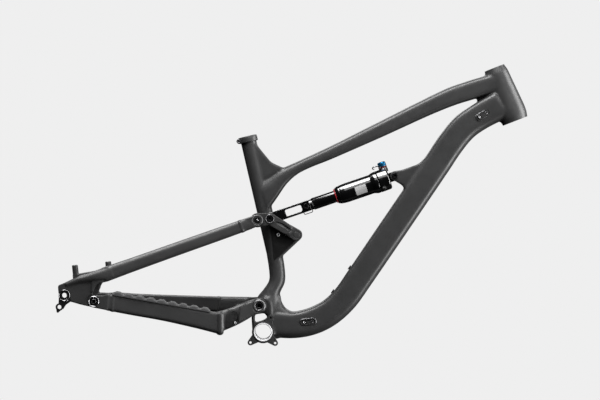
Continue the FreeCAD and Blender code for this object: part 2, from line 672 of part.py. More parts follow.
# ---- Seatstay assembly ---------------------------------------------------------------------------
SEATSTAY = [(-66, 226.0, 43.5, SEATSTAY_SLOPE, 13.6, 6.6),
            (-110, 206.0, 46.0, SEATSTAY_SLOPE, 14.2, 8.2),
            (-200, 164.8, 57.5, SEATSTAY_SLOPE, 14.6, 8.6),
            (-297, 120.0, 71.0, SEATSTAY_SLOPE, 15.2, 8.6),
            (-350, 95.5, 78.5, SEATSTAY_SLOPE, 16.2, 8.4)]


def make_seatstays():
    stay_envelope, hollow = tube(SEATSTAY, wall=1.9, power=2.8)
    keep("seatstay_drive", mirror(main_solid(hollow)))
    keep("seatstay_nondrive", main_solid(hollow))
    eye_radius = 12.8
    neck = loft([SEATSTAY[0], (-50, 233.6, 43.0, SEATSTAY_SLOPE, 13.3, 5.2)], 0.0, 2.8)
    eye = link(STAY_PIVOT, eye_radius, (-50, 233.6), eye_radius, STAY_END_INNER, STAY_END_OUTER)
    eye = eye.common(Part.makeBox(80, 20, 80, FreeCAD.Vector(-62, 30, 190)))
    end = fuse([neck, eye])
    head_seat = STAY_END_OUTER - 2.5
    end = end.cut(disc(STAY_PIVOT, LINK_BOLT_RADIUS, STAY_END_INNER - 8, STAY_END_OUTER + 12))
    end = end.cut(disc(STAY_PIVOT, LINK_BOLT_HEAD_RADIUS, head_seat, STAY_END_OUTER + 12))
    end = main_solid(end.cut(stay_envelope))
    keep("seatstay_end_drive", mirror(end))
    keep("seatstay_end_nondrive", end)
    slope = math.radians(SEATSTAY_SLOPE)
    bridge_place = along(STAY_PIVOT, (math.cos(slope), math.sin(slope)), -BRIDGE_DISTANCE)
    bridge = ring(bridge_place, 5, 7.5, -48, 48)
    keep("seatstay_bridge", main_solid(bridge.cut([stay_envelope, mirror(stay_envelope)])))
    bolt = fuse([disc(STAY_PIVOT, LINK_BOLT_RADIUS, ROCKER_INNER + 0.5, head_seat + 0.5),
                 disc(STAY_PIVOT, LINK_BOLT_HEAD_RADIUS, head_seat, STAY_END_OUTER + 0.6)])
    bolt = bolt.cut(disc(STAY_PIVOT, LINK_SOCKET_RADIUS, head_seat + 0.5, STAY_END_OUTER + 2))
    keep("stay_pivot_bolts", both_sides(bolt))
    return stay_envelope


def make_dropouts(stay_envelope):
    """The plates that hold the rear axle, each with a tab between the ears of a chainstay's fork."""
    outline = [(-449, 63, 5), (-434, 70.5, 4), (-420, 78, 4), (-402, 90, 12), (-384, 96, 12),
               (-345, 115, 4), (-334, 96), (-347, 79.5, 4), (-366, 75, 7), (-374, 66, 6), (-372, 50),
               (-368.3, 49), (-368.3, 22.8), (-397, 26.5, 20), (-415, 30, 10), (-443, 32, 6)]
    inner = DROPOUT_INNER
    outer = DROPOUT_OUTER
    ear_space = disc(DROPOUT_PIVOT, CLEVIS_RADIUS + 2.5, inner - 1, outer + 1)
    tab_neck = plate([(-372, 49), (-368.3, 48.8), (-368.3, 22.8), (-390, 25.5), (-390, 52)], inner,
                     PIVOT_TAB_OUTER)
    body = fuse([plate(outline, inner, outer).cut(ear_space), tab_neck,
                 disc(DROPOUT_PIVOT, CLEVIS_RADIUS, inner, PIVOT_TAB_OUTER)])
    body = body.cut(disc(DROPOUT_PIVOT, CLEVIS_RADIUS + 2.5, PIVOT_TAB_OUTER, outer + 1))
    body = body.cut(stay_envelope)
    body = body.cut(disc(DROPOUT_PIVOT, SMALL_BEARING_RADIUS, inner - 1, outer))
    body = body.cut(disc(REAR_AXLE, REAR_AXLE_RADIUS, inner - 1, outer + 1))
    dropout = main_solid(body)
    hanger_thread = mirror(disc(HANGER_BOLT, HANGER_BOLT_RADIUS, outer - 4, outer + 1))
    keep("dropout_drive", mirror(dropout).cut(hanger_thread))
    keep("dropout_nondrive", dropout)
    bearing = ring(DROPOUT_PIVOT, PIVOT_AXLE_RADIUS + RUNNING_CLEARANCE, SMALL_BEARING_RADIUS,
                   inner + 0.5, PIVOT_TAB_OUTER - 0.5)
    keep("dropout_pivot_bearings", both_sides(bearing))


def make_derailleur_hanger():
    """The hanger outside the drive-side dropout, with the small bolt that keeps it from turning."""
    inner = DROPOUT_OUTER
    outer = DROPOUT_OUTER + HANGER_THICKNESS
    web = plate([(-443.5, 40), (-421, 40), (-415.5, 33, 3), (-427, 23.5, 5), (-432, 14), (-443, 12),
                 (-443, 27, 4)], inner, outer)
    tail = link(HANGER_HOLE, 7, (-443, 7.5), 2.5, inner, outer)
    body = fuse([disc(REAR_AXLE, HANGER_RING_RADIUS, inner, outer), web, tail,
                 disc(HANGER_HOLE, HANGER_THREAD_RADIUS + 3.6, inner, outer)])
    body = body.cut(disc(REAR_AXLE, REAR_AXLE_RADIUS, inner - 1, outer + 1))
    body = body.cut(disc(HANGER_HOLE, HANGER_THREAD_RADIUS, inner - 1, outer + 1))
    head_seat = outer - 2
    body = body.cut(disc(HANGER_BOLT, HANGER_BOLT_RADIUS, inner - 1, outer + 1))
    body = body.cut(disc(HANGER_BOLT, HANGER_BOLT_HEAD_RADIUS, head_seat, outer + 1))
    keep("derailleur_hanger", mirror(main_solid(body)))
    bolt = fuse([disc(HANGER_BOLT, HANGER_BOLT_RADIUS, inner - 4, head_seat),
                 disc(HANGER_BOLT, HANGER_BOLT_HEAD_RADIUS, head_seat, outer + 0.6)])
    keep("hanger_bolt", mirror(bolt.cut(disc(HANGER_BOLT, 1.2, outer - 0.6, outer + 1))))


def make_brake_mount(stay_envelope):
    """Two posts for a brake caliper, on an arm inboard of the non-drive dropout."""
    tilt = math.radians(BRAKE_POST_TILT)
    spread = (math.cos(tilt), math.sin(tilt))
    up = (-math.sin(tilt), math.cos(tilt))
    front_top = along(REAR_POST_TOP, spread, BRAKE_POST_SPACING)
    posts = []
    threads = []
    for top, height in ((REAR_POST_TOP, 26), (front_top, 20)):
        post_top = vec(top, BRAKE_POST_Y)
        posts.append(rod(vec(along(top, up, -height), BRAKE_POST_Y), post_top, BRAKE_POST_RADIUS))
        threads.append(rod(vec(along(top, up, -BRAKE_THREAD_DEPTH), BRAKE_POST_Y),
                           vec(along(top, up, 2), BRAKE_POST_Y), BRAKE_THREAD_RADIUS))
    foot_rear = along(REAR_POST_TOP, up, -34)
    foot_front = along(front_top, up, -22)
    arm = plate([along(foot_rear, spread, -7.0), along(along(foot_rear, up, 12), spread, -7.0),
                 along(along(foot_rear, up, 14), spread, 7) + (4,),
                 along(along(foot_front, up, 6), spread, -7) + (6,),
                 along(along(foot_front, up, 8), spread, 7.0), along(foot_front, spread, 8) + (4,),
                 (-388, 72, 8), along(foot_rear, spread, 8) + (4,)], BRAKE_POST_Y - 6.5, DROPOUT_INNER)
    body = main_solid(fuse([arm] + posts).cut(stay_envelope))
    keep("brake_mount", main_solid(body.cut(threads)))


# ---- Rocker link ---------------------------------------------------------------------------------
def make_rocker():
    """The link between the seatstays, the shock's fork and the bracket: two plates and a bridge."""
    rear_radius = 15.5
    middle_radius = 12.5
    knee_radius = 11.5
    tip_radius = 12.5
    rear = link(STAY_PIVOT, rear_radius, YOKE_PIVOT, middle_radius, ROCKER_INNER, ROCKER_OUTER)
    arm = link(YOKE_PIVOT, middle_radius, ROCKER_KNEE, knee_radius, ROCKER_INNER, ROCKER_OUTER)
    tip = link(ROCKER_KNEE, knee_radius, ROCKER_PIVOT, tip_radius, ROCKER_TIP_INNER, ROCKER_TIP_OUTER)
    blend = loft([(ROCKER_KNEE[0] - 4, ROCKER_KNEE[1] + 1, 32.5, -26, 11.2, 4.4),
                  (ROCKER_PIVOT[0] - 9, ROCKER_PIVOT[1] + 4, 28.5, -26, 11.2, 2.4)], 0.0, 2.8)
    side = fuse([rear, arm, tip, blend])
    groove = link((12, 236.5), 3.6, (40, 222.5), 3.0, ROCKER_OUTER - 2.5, ROCKER_OUTER + 1)
    tip_bearing_start = ROCKER_TIP_INNER + 1.5
    tip_bearing_end = tip_bearing_start + 5.0
    cap_radius = 7.0
    stay_bearing_start = ROCKER_INNER + 2
    stay_bearing_end = stay_bearing_start + 5.0
    stay_bearing_radius = 13.0
    for cutter in (disc(STAY_PIVOT, stay_bearing_radius, stay_bearing_start, stay_bearing_end),
                   disc(STAY_PIVOT, SMALL_BEARING_RADIUS, ROCKER_INNER - 3, ROCKER_OUTER + 3),
                   disc(YOKE_PIVOT, LINK_BOLT_RADIUS, ROCKER_INNER - 3, ROCKER_OUTER + 3),
                   disc(ROCKER_PIVOT, SMALL_BEARING_RADIUS, ROCKER_TIP_INNER - 1, tip_bearing_end + 0.5),
                   disc(ROCKER_PIVOT, cap_radius, ROCKER_TIP_INNER - 1, ROCKER_OUTER + 3),
                   groove):
        side = side.cut(cutter)
    bridge = disc(ROCKER_BRIDGE, 6, -ROCKER_INNER - 1, ROCKER_INNER + 1)
    keep("rocker_link", main_solid(fuse([side, mirror(side), bridge])))
    tip_bearing = ring(ROCKER_PIVOT, PIVOT_AXLE_RADIUS + RUNNING_CLEARANCE, SMALL_BEARING_RADIUS,
                       tip_bearing_start, tip_bearing_end)
    keep("rocker_pivot_bearings", both_sides(tip_bearing))
    cap = disc(ROCKER_PIVOT, cap_radius, ROCKER_TIP_OUTER - 4, ROCKER_TIP_OUTER + 0.3)
    keep("rocker_pivot_caps", both_sides(cap))
    stay_bearing = ring(STAY_PIVOT, 8.5, stay_bearing_radius, stay_bearing_start, stay_bearing_end)
    keep("stay_pivot_bearings", both_sides(stay_bearing))
    bolt = fuse([disc(YOKE_PIVOT, LINK_BOLT_RADIUS, YOKE_ARM_INNER - 1.3, ROCKER_OUTER),
                 disc(YOKE_PIVOT, YOKE_BOLT_HEAD_RADIUS, ROCKER_OUTER, ROCKER_OUTER + 3.5)])
    bolt = bolt.cut(disc(YOKE_PIVOT, YOKE_BOLT_SOCKET_RADIUS, ROCKER_OUTER + 0.5, ROCKER_OUTER + 4))
    keep("yoke_pivot_bolts", both_sides(bolt))


# ---- Shock ---------------------------------------------------------------------------------------
def make_air_can():
    """The sleeve that holds the air spring, with its dust seal and the travel ring at its mouth."""
    front_eye = vec(SHOCK_FRONT_EYE)
    mouth_bore = 15.2
    outer = [(HEAD_END, 22.6), (56, 22.0), (78, 21.6), (96, 20.6), (112, 20.4), (118, 17.8),
             (CAN_MOUTH, 17.4)]
    inner = [(HEAD_END, 19.5), (94, 18.6), (108, 18.4), (114, mouth_bore), (CAN_MOUTH, mouth_bore)]
    keep("air_can", turned(front_eye, shock_axis, outer, inner))
    seal_start = 118
    seal_end = CAN_MOUTH - 0.8
    seal_bore = SHAFT_RADIUS + RUNNING_CLEARANCE
    keep("can_wiper_seal", turned(front_eye, shock_axis, [(seal_start, mouth_bore), (seal_end, mouth_bore)],
                                  [(seal_start, seal_bore), (seal_end, seal_bore)]))
    ring_end = CAN_MOUTH + 3.0
    ring_bore = SHAFT_RADIUS + 0.1
    ring_outer = [(CAN_MOUTH, 14.6), (CAN_MOUTH + 0.7, 15.6), (ring_end - 0.7, 15.6), (ring_end, 14.6)]
    keep("travel_ring", turned(front_eye, shock_axis, ring_outer,
                               [(CAN_MOUTH, ring_bore), (ring_end, ring_bore)]))


def make_damper_head():
    """The head that closes the can, with the front eye, the control post and the air valve."""
    front_eye = vec(SHOCK_FRONT_EYE)
    head = turned(front_eye, shock_axis, [(HEAD_START, 21.5), (HEAD_START + 2, 23.8),
                                          (HEAD_END - 2, 23.8), (HEAD_END, 23.0)])
    spigot_end = HEAD_END + SPIGOT_LENGTH
    spigot = turned(front_eye, shock_axis, [(HEAD_END, 19.5), (spigot_end, 19.5)],
                    [(HEAD_END, 15.5), (spigot_end, 15.5)])
    eye_radius = 10.4
    eye = link(SHOCK_FRONT_EYE, eye_radius, shock_place(HEAD_START + 1), eye_radius, -EYE_HALF_WIDTH,
               EYE_HALF_WIDTH)
    post_start = vec(shock_place(CONTROL_DISTANCE, 15))
    post = rod(post_start, vec(shock_place(CONTROL_DISTANCE, 36.4)), CONTROL_POST_RADIUS)
    pad = rod(post_start, vec(shock_place(CONTROL_DISTANCE, 24.4)), 9.6)
    valve_axis = FreeCAD.Vector(0, -1, 0) - shock_up_axis * 0.9
    valve_axis.normalize()
    valve_centre = vec(shock_place(VALVE_DISTANCE))
    valve = rod(valve_centre + valve_axis * 15, valve_centre + valve_axis * 28, VALVE_RADIUS)
    body = fuse([head, spigot, eye, post, pad, valve])
    bushing_bore = disc(SHOCK_FRONT_EYE, EYE_BUSHING_RADIUS, -EYE_HALF_WIDTH - 1, EYE_HALF_WIDTH + 1)
    keep("damper_head", main_solid(body.cut(bushing_bore)))
    cap = rod(valve_centre + valve_axis * 24.2, valve_centre + valve_axis * 31, VALVE_RADIUS + 1.6)
    keep("air_valve_cap", cap.cut(valve))
    keep("front_eye_bushing", ring(SHOCK_FRONT_EYE, LINK_BOLT_RADIUS + RUNNING_CLEARANCE,
                                   EYE_BUSHING_RADIUS, -EYE_HALF_WIDTH, EYE_HALF_WIDTH))


def make_controls():
    """The rebound ring, and the compression lever above it."""
    clearance = CONTROL_POST_RADIUS + RUNNING_CLEARANCE
    base = vec(shock_place(CONTROL_DISTANCE))
    knob = turned(base, shock_up_axis, [(24.7, 9.2), (25.4, 9.8), (27.6, 9.8), (28.3, 9.2)],
                  [(24.7, clearance), (28.3, clearance)])
    keep("rebound_knob", knob)
    cap = turned(base, shock_up_axis, [(28.6, 8.6), (35.2, 8.2), (36.6, 6.8)],
                 [(28.6, clearance), (36.6, clearance)])
    arm_start = base + shock_axis * 5.5 + shock_up_axis * 31.2
    arm_end = base + shock_axis * 19.5 + shock_up_axis * 32.6
    arm = rod(arm_start, arm_end, 2.0)
    hook = rod(arm_end, arm_end + shock_up_axis * -4.4 + shock_axis * 1.4, 1.6)
    keep("compression_lever", fuse([cap, arm, hook]))


def make_shock_shaft():
    """The damper shaft, its air piston inside the can, and the fork on its rear end."""
    front_eye = vec(SHOCK_FRONT_EYE)
    piston_face = HEAD_END + SPIGOT_LENGTH + SHOCK_STROKE + 0.5
    shaft = turned(front_eye, shock_axis,
                   [(piston_face, SHAFT_RADIUS), (SHAFT_SHOULDER, SHAFT_RADIUS),
                    (SHAFT_SHOULDER, 12.0), (YOKE_BLOCK_START, 12.0),
                    (YOKE_BLOCK_START, SHAFT_STUD_RADIUS), (SHAFT_STUD_END, SHAFT_STUD_RADIUS)],
                   [(piston_face, 10.0), (SHAFT_SHOULDER - 4, 10.0), (SHAFT_SHOULDER - 4, 0),
                    (SHAFT_STUD_END, 0)])
    eye_place = shock_place(SHAFT_BOLT_DISTANCE)
    keep("damper_shaft", shaft.cut(disc(eye_place, LINK_BOLT_RADIUS, -30, 30)))
    piston_back = piston_face + PISTON_LENGTH
    piston = turned(front_eye, shock_axis, [(piston_face, PISTON_RADIUS), (piston_back, PISTON_RADIUS)],
                    [(piston_face, SHAFT_RADIUS), (piston_back, SHAFT_RADIUS)])
    keep("air_piston", piston)
    make_shock_yoke(eye_place)


def make_shock_yoke(eye_place):
    """The fork behind the shock that reaches round the seat tube to the rocker."""
    half = YOKE_HALF_HEIGHT

    def bar(start, end, half_height, y_low, y_high, radius):
        corners = [shock_place(distance, height) + (radius,) for distance, height in
                   ((start, half_height), (start, -half_height), (end, -half_height), (end, half_height))]
        return plate(corners, y_low, y_high)

    arm = bar(YOKE_BLOCK_START, shock_length - 4, half, YOKE_ARM_INNER, YOKE_ARM_OUTER, 2)
    arm = fuse([arm, disc(YOKE_PIVOT, 13.2, YOKE_ARM_INNER, YOKE_ARM_OUTER)])
    block = bar(YOKE_BLOCK_START, YOKE_BLOCK_END, half, -YOKE_ARM_OUTER, YOKE_ARM_OUTER, 2)
    body = fuse([arm, mirror(arm), block])
    body = body.cut(bar(YOKE_BLOCK_END, YOKE_WINDOW_END, YOKE_WINDOW_HALF_HEIGHT, -30, 30, 3))
    body = body.cut(disc(YOKE_PIVOT, YOKE_EYE_BORE, -30, 30))
    body = body.cut(disc(eye_place, LINK_BOLT_RADIUS, -30, 30))
    stud = turned(vec(SHOCK_FRONT_EYE), shock_axis, [(YOKE_BLOCK_START - 1, SHAFT_STUD_RADIUS),
                                                     (SHAFT_STUD_END, SHAFT_STUD_RADIUS)])
    keep("shock_yoke", main_solid(body.cut(stud)))
    head_radius = LINK_BOLT_HEAD_RADIUS
    bolt = fuse([disc(eye_place, LINK_BOLT_RADIUS, -YOKE_ARM_OUTER, YOKE_ARM_OUTER),
                 disc(eye_place, head_radius, -YOKE_ARM_OUTER - 3, -YOKE_ARM_OUTER),
                 disc(eye_place, head_radius, YOKE_ARM_OUTER, YOKE_ARM_OUTER + 3)])
    socket = disc(eye_place, LINK_SOCKET_RADIUS, -YOKE_ARM_OUTER - 4, -YOKE_ARM_OUTER - 1)
    keep("yoke_bolt", bolt.cut(socket))
    loop_centre = shock_place(204, -half - 1.5)
    loop_front = along(loop_centre, shock_back, -7)
    loop_rear = along(loop_centre, shock_back, 7)
    loop = link(loop_front, 3.6, loop_rear, 3.6, -YOKE_ARM_OUTER, -YOKE_ARM_OUTER + 6)
    loop = loop.cut(link(loop_front, 2.0, loop_rear, 2.0, -YOKE_ARM_OUTER - 1, -YOKE_ARM_OUTER + 7))
    keep("hose_guide", main_solid(loop.cut(body)))


# ---- Whole frame ---------------------------------------------------------------------------------
make_front_triangle()
make_chainstay_yoke()
make_chainstays()
make_dropout_pivot_bolts()
make_chainstay_protector()
seatstay_envelope = make_seatstays()
make_dropouts(seatstay_envelope)
make_derailleur_hanger()
make_brake_mount(seatstay_envelope)
make_rocker()
make_air_can()
make_damper_head()
make_controls()
make_shock_shaft()

os.makedirs("parts", exist_ok=True)
for node_name, node_solids in sorted(nodes.items()):
    shape = node_solids[0] if len(node_solids) == 1 else Part.makeCompound(node_solids)
    shape.exportStep("parts/" + node_name + ".step")
    box = shape.BoundBox
    state = "valid" if shape.isValid() else "INVALID"
    print("%-24s %d solids %10.0f mm3 %s  x %.0f..%.0f y %.0f..%.0f z %.0f..%.0f" % (
        node_name, len(node_solids), shape.Volume, state, box.XMin, box.XMax, box.YMin, box.YMax,
        box.ZMin, box.ZMax))
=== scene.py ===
"""Full-suspension bicycle frame: welded skins, machined pieces, shock, materials, light and camera.

Lengths in this script are millimetres in the CAD frame, and become metres where a mesh is made.
Places in the frame's mid-plane are written (x, z). The drive side is -Y.
"""
import math

import bmesh
import bpy
from mathutils import Matrix, Vector


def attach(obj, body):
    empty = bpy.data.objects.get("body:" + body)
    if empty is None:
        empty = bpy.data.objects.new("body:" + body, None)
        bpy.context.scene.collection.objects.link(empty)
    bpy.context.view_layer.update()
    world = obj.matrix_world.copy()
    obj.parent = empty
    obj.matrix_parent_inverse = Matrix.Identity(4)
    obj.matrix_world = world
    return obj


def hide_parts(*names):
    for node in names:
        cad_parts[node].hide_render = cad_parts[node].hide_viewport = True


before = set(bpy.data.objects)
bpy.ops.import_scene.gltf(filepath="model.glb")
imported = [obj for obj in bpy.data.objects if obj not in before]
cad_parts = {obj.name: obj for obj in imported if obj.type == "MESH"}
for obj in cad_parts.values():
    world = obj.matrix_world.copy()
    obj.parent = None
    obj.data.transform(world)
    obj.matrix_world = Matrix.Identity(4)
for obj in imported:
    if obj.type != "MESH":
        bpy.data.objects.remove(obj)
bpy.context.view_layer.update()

MM = 0.001
DRIVE = -1
NON_DRIVE = 1
SIDES = (DRIVE, NON_DRIVE)
# The radius at which a turned piece closes on its own axis.
TIP = 0.01
# Points of a CAD mesh this close, in metres, are one point.
SAME_POINT = 1e-6
# Angles, in degrees, past which an edge stays crisp.
CRISP = 30.0
USUAL = 35.0
FIRM = 40.0
SOFT = 50.0
SOFTEST = 60.0

# ---- Hard points, (x, z) ----
MAIN_PIVOT = (-13.7, 56.5)
DROPOUT_PIVOT = (-368.3, 35.8)
REAR_AXLE = (-432.1, 43.5)
STAY_PIVOT = (-34.3, 241.3)
YOKE_PIVOT = (-7.7, 247.2)
ROCKER_PIVOT = (53.4, 217)
SHOCK_FRONT_EYE = (255.4, 364.8)
HEAD_TOP = (451.7, 620.3)
HEAD_ANGLE = 63.4
HEAD_LENGTH = 125.0
SEAT_TOP = (-71.5, 416.4)
SEAT_BOTTOM = (8.5, 174)
SEAT_RADIUS = 17.3
SEATPOST_RADIUS = 15.45
SHELL_RADIUS = 20.25
BRACKET_SCREW = (13.5, 214)
HANGER_BOLT = (-426, 33.5)
Y_AXIS = Vector((0, 1, 0))
CHAMFER_REACH = 0.6


# ---- Small geometry helpers ----
def vec(place, y=0.0):
    """A place (x, z) at sideways distance y."""
    return Vector((place[0], y, place[1]))


def along(start, direction, distance):
    """The place (x, z) at a distance from start."""
    return (start[0] + direction[0] * distance, start[1] + direction[1] * distance)


def unit(start, end):
    """The direction (x, z) from start to end."""
    length = math.hypot(end[0] - start[0], end[1] - start[1])
    return ((end[0] - start[0]) / length, (end[1] - start[1]) / length)


def direction_at(angle):
    """The direction (x, z) at an angle above +X, in degrees."""
    return (math.cos(math.radians(angle)), math.sin(math.radians(angle)))


def smooth_step(low, high, value):
    """A smooth rise from 0 to 1 as a value goes from low to high."""
    t = min(max((value - low) / (high - low), 0.0), 1.0)
    return t * t * (3 - 2 * t)


head_down = direction_at(-HEAD_ANGLE)
head_axis = vec(head_down)
seat_down = unit(SEAT_TOP, SEAT_BOTTOM)
seat_axis = vec(seat_down)
seat_back = (seat_down[1], -seat_down[0])
shock_back = unit(SHOCK_FRONT_EYE, YOKE_PIVOT)
shock_up = (shock_back[1], -shock_back[0])
shock_axis = vec(shock_back)
shock_up_axis = vec(shock_up)


def shock_place(distance, height=0.0):
    """A place (x, z) on the shock: distance from the front eye, and height above its axis."""
    return along(along(SHOCK_FRONT_EYE, shock_back, distance), shock_up, height)


# ---- Mesh helpers ----
def object_from(data):
    """An object in the scene that holds the data."""
    obj = bpy.data.objects.new("piece", data)
    bpy.context.scene.collection.objects.link(obj)
    return obj


def new_object(points, faces):
    """An object from points in millimetres."""
    mesh = bpy.data.meshes.new("piece")
    mesh.from_pydata([p * MM for p in points], [], faces)
    mesh.update()
    return object_from(mesh)


def shade(obj, sharp=USUAL):
    """Smooth shading, with edges sharper than the angle kept crisp."""
    limit = math.radians(sharp)
    bm = bmesh.new()
    bm.from_mesh(obj.data)
    bmesh.ops.recalc_face_normals(bm, faces=bm.faces)
    for face in bm.faces:
        face.smooth = True
    for edge in bm.edges:
        edge.smooth = edge.calc_face_angle(0.0) < limit
    bm.to_mesh(obj.data)
    bm.free()


def apply_modifiers(obj):
    graph = bpy.context.evaluated_depsgraph_get()
    mesh = bpy.data.meshes.new_from_object(obj.evaluated_get(graph))
    obj.modifiers.clear()
    old = obj.data
    obj.data = mesh
    bpy.data.meshes.remove(old)


def remove(objects):
    for obj in objects:
        bpy.data.objects.remove(obj)


def rings_solid(rings, closed=False):
    """A tube through rings of equally many points: capped at both ends, or closed into a loop."""
    count = len(rings[0])
    points = [p for ring in rings for p in ring]
    faces = []
    last = len(rings) if closed else len(rings) - 1
    for i in range(last):
        here = i * count
        there = ((i + 1) % len(rings)) * count
        for j in range(count):
            k = (j + 1) % count
            faces.append((here + j, here + k, there + k, there + j))
    if not closed:
        faces.append(tuple(range(count))[::-1])
        faces.append(tuple(range((len(rings) - 1) * count, len(rings) * count)))
    return new_object(points, faces)


def turned(start, axis, profile, closed=False, segments=72):
    """A turned piece. The profile holds (distance, radius) or (distance, radius, shape(angle))."""
    axis = axis.normalized()
    side = axis.cross(Y_AXIS)
    if side.length < 0.001:
        side = Vector((1, 0, 0))
    side.normalize()
    other = axis.cross(side)
    rings = []
    for station in profile:
        middle = start + axis * station[0]
        ring = []
        for j in range(segments):
            angle = 2 * math.pi * j / segments
            r = station[1] * (station[2](angle) if len(station) == 3 else 1.0)
            ring.append(middle + side * (r * math.cos(angle)) + other * (r * math.sin(angle)))
        rings.append(ring)
    return rings_solid(rings, closed)


def turned_pair(place, profile, **options):
    """The same turned piece on each side, with a profile that starts at the mid-plane."""
    return [turned(vec(place), Y_AXIS * side, profile, **options) for side in SIDES]


def oval(middle, first, second, count):
    """A ring of points, from its middle and its two half axes."""
    angles = [2 * math.pi * j / count for j in range(count)]
    return [middle + first * math.cos(a) + second * math.sin(a) for a in angles]


def hexagon(angle):
    """How far a hexagon reaches at an angle, where its corners reach 1."""
    sixth = math.pi / 3
    return math.cos(sixth / 2) / math.cos(angle % sixth - sixth / 2)


def knurl(count, depth):
    """A shape with teeth round it."""
    def shape(angle):
        return 1 + depth * math.cos(count * angle)
    return shape


def eased(profile, radius=0.5, steps=3):
    """A closed profile with each corner rounded off by short chords."""
    count = len(profile)
    rounded = []
    for i, corner in enumerate(profile):
        here = Vector(corner[:2])
        before = Vector(profile[i - 1][:2]) - here
        after = Vector(profile[(i + 1) % count][:2]) - here
        if len(corner) == 3 or before.length < 0.02 or after.length < 0.02:
            rounded.append(corner)
            continue
        first = here + before.normalized() * min(radius, before.length * 0.45)
        last = here + after.normalized() * min(radius, after.length * 0.45)
        for k in range(steps + 1):
            t = k / steps
            point = first * (1 - t) ** 2 + here * (2 * t * (1 - t)) + last * t ** 2
            rounded.append((point[0], max(point[1], 0.001)))
    return rounded


def disc(place, radius, y_low, y_high, segments=96):
    """A plain cylinder along Y, used to build and cut skins."""
    profile = [(0, TIP), (0, radius), (y_high - y_low, radius), (y_high - y_low, TIP)]
    return turned(vec(place, y_low), Y_AXIS, profile, segments=segments)


def disc_pairs(table):
    """Cylinders on both sides of the frame: place, radius, nearest and farthest y, segments."""
    return [disc(place, radius, *sorted((side * near, side * far)), segments)
            for side in SIDES for place, radius, near, far, segments in table]


def plate(corners, y_low, y_high):
    """A flat plate across Y, used to build and cut skins."""
    rings = [[vec(c, y) for c in corners] for y in (y_low, y_high)]
    return rings_solid(rings)


def node_copy(name):
    """A new object with a CAD node's shape, its split edges joined."""
    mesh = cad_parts[name].data.copy()
    bm = bmesh.new()
    bm.from_mesh(mesh)
    bmesh.ops.remove_doubles(bm, verts=bm.verts, dist=SAME_POINT)
    bm.to_mesh(mesh)
    bm.free()
    return object_from(mesh)


def section(station, sharpness, count):
    """A ring round a station (x, z, y, pitch, half depth, half width, and perhaps two chamfers).

    A chamfer is given by how far it comes down, or up, the side of the tube.
    """
    x, z, y, pitch, half_depth, half_width = station[:6]
    planes = [(1, 0, half_width), (-1, 0, half_width), (0, 1, half_depth), (0, -1, half_depth)]
    for sign, chamfer in zip((1, -1), station[6:]):
        reach = CHAMFER_REACH * half_width
        length = math.hypot(chamfer, reach)
        across, deep = chamfer / length, reach / length
        distance = across * half_width + deep * (half_depth - chamfer)
        planes += [(across, sign * deep, distance), (-across, sign * deep, distance)]

    def radius(across, deep):
        total = 0.0
        for normal_across, normal_deep, distance in planes:
            reach = across * normal_across + deep * normal_deep
            if reach > 0:
                total += (reach / distance) ** sharpness
        return total ** (-1 / sharpness)

    wide = half_width / radius(1, 0)
    upper = half_depth / radius(0, 1)
    lower = half_depth / radius(0, -1)
    lean = math.radians(pitch)
    deep_axis = Vector((-math.sin(lean), 0, math.cos(lean)))
    ring = []
    for j in range(count):
        angle = 2 * math.pi * j / count
        across, deep = math.cos(angle), math.sin(angle)
        r = radius(across, deep)
        up = deep * r * (upper if deep > 0 else lower)
        ring.append(Vector((x, y, z)) + Y_AXIS * (across * r * wide) + deep_axis * up)
    return ring


def curve_through(stations, spacing):
    """Stations along a smooth curve through the given ones, about evenly spaced."""
    knots = [0.0]
    for a, b in zip(stations, stations[1:]):
        knots.append(knots[-1] + math.dist(a[:3], b[:3]))
    slopes = []
    for i in range(len(stations)):
        low = max(i - 1, 0)
        high = min(i + 1, len(stations) - 1)
        slopes.append([(b - a) / (knots[high] - knots[low]) for a, b in zip(stations[low], stations[high])])
    result = []
    for i in range(len(stations) - 1):
        length = knots[i + 1] - knots[i]
        steps = max(1, round(length / spacing))
        for k in range(steps):
            t = k / steps
            h00 = 2 * t ** 3 - 3 * t ** 2 + 1
            h10 = t ** 3 - 2 * t ** 2 + t
            h01 = -2 * t ** 3 + 3 * t ** 2
            h11 = t ** 3 - t ** 2
            result.append([h00 * a + h10 * length * m + h01 * b + h11 * length * n for a, m, b, n in
                           zip(stations[i], slopes[i], stations[i + 1], slopes[i + 1])])
    result.append(list(stations[-1]))
    return result


def tube(stations, sharpness=16, count=96, spacing=5.0):
    """A solid tube through stations."""
    rings = [section(s, sharpness, count) for s in curve_through(stations, spacing)]
    return rings_solid(rings)


def on_side(obj, side):
    """An object built at +Y, mirrored to -Y for the drive side."""
    if side == DRIVE:
        obj.data.transform(Matrix.Scale(-1, 4, Y_AXIS))
        obj.data.flip_normals()
    return obj


def join(parts):
    """One object out of several, as separate shells."""
    bm = bmesh.new()
    for part in parts:
        bm.from_mesh(part.data)
    mesh = bpy.data.meshes.new("piece")
    bm.to_mesh(mesh)
    bm.free()
    remove(parts)
    return object_from(mesh)


def skin(parts, voxel, smoothing):
    """One closed skin round overlapping solids, with their joints and edges eased."""
    obj = join(parts)
    remesh = obj.modifiers.new("remesh", "REMESH")
    remesh.mode = "VOXEL"
    remesh.voxel_size = voxel * MM
    remesh.adaptivity = 0.0
    smooth = obj.modifiers.new("smooth", "SMOOTH")
    smooth.factor = 0.5
    smooth.iterations = smoothing
    apply_modifiers(obj)
    return obj


def cut(obj, cutters):
    """Crisp cuts through a skin."""
    for cutter in cutters:
        modifier = obj.modifiers.new("cut", "BOOLEAN")
        modifier.operation = "DIFFERENCE"
        modifier.solver = "MANIFOLD"
        modifier.object = cutter
    apply_modifiers(obj)
    remove(cutters)


# ---- Materials ----
MATERIALS = {}
# The band of a noise's values that is spread over a finish's whole range.
NOISE_BAND = (0.3, 0.7)
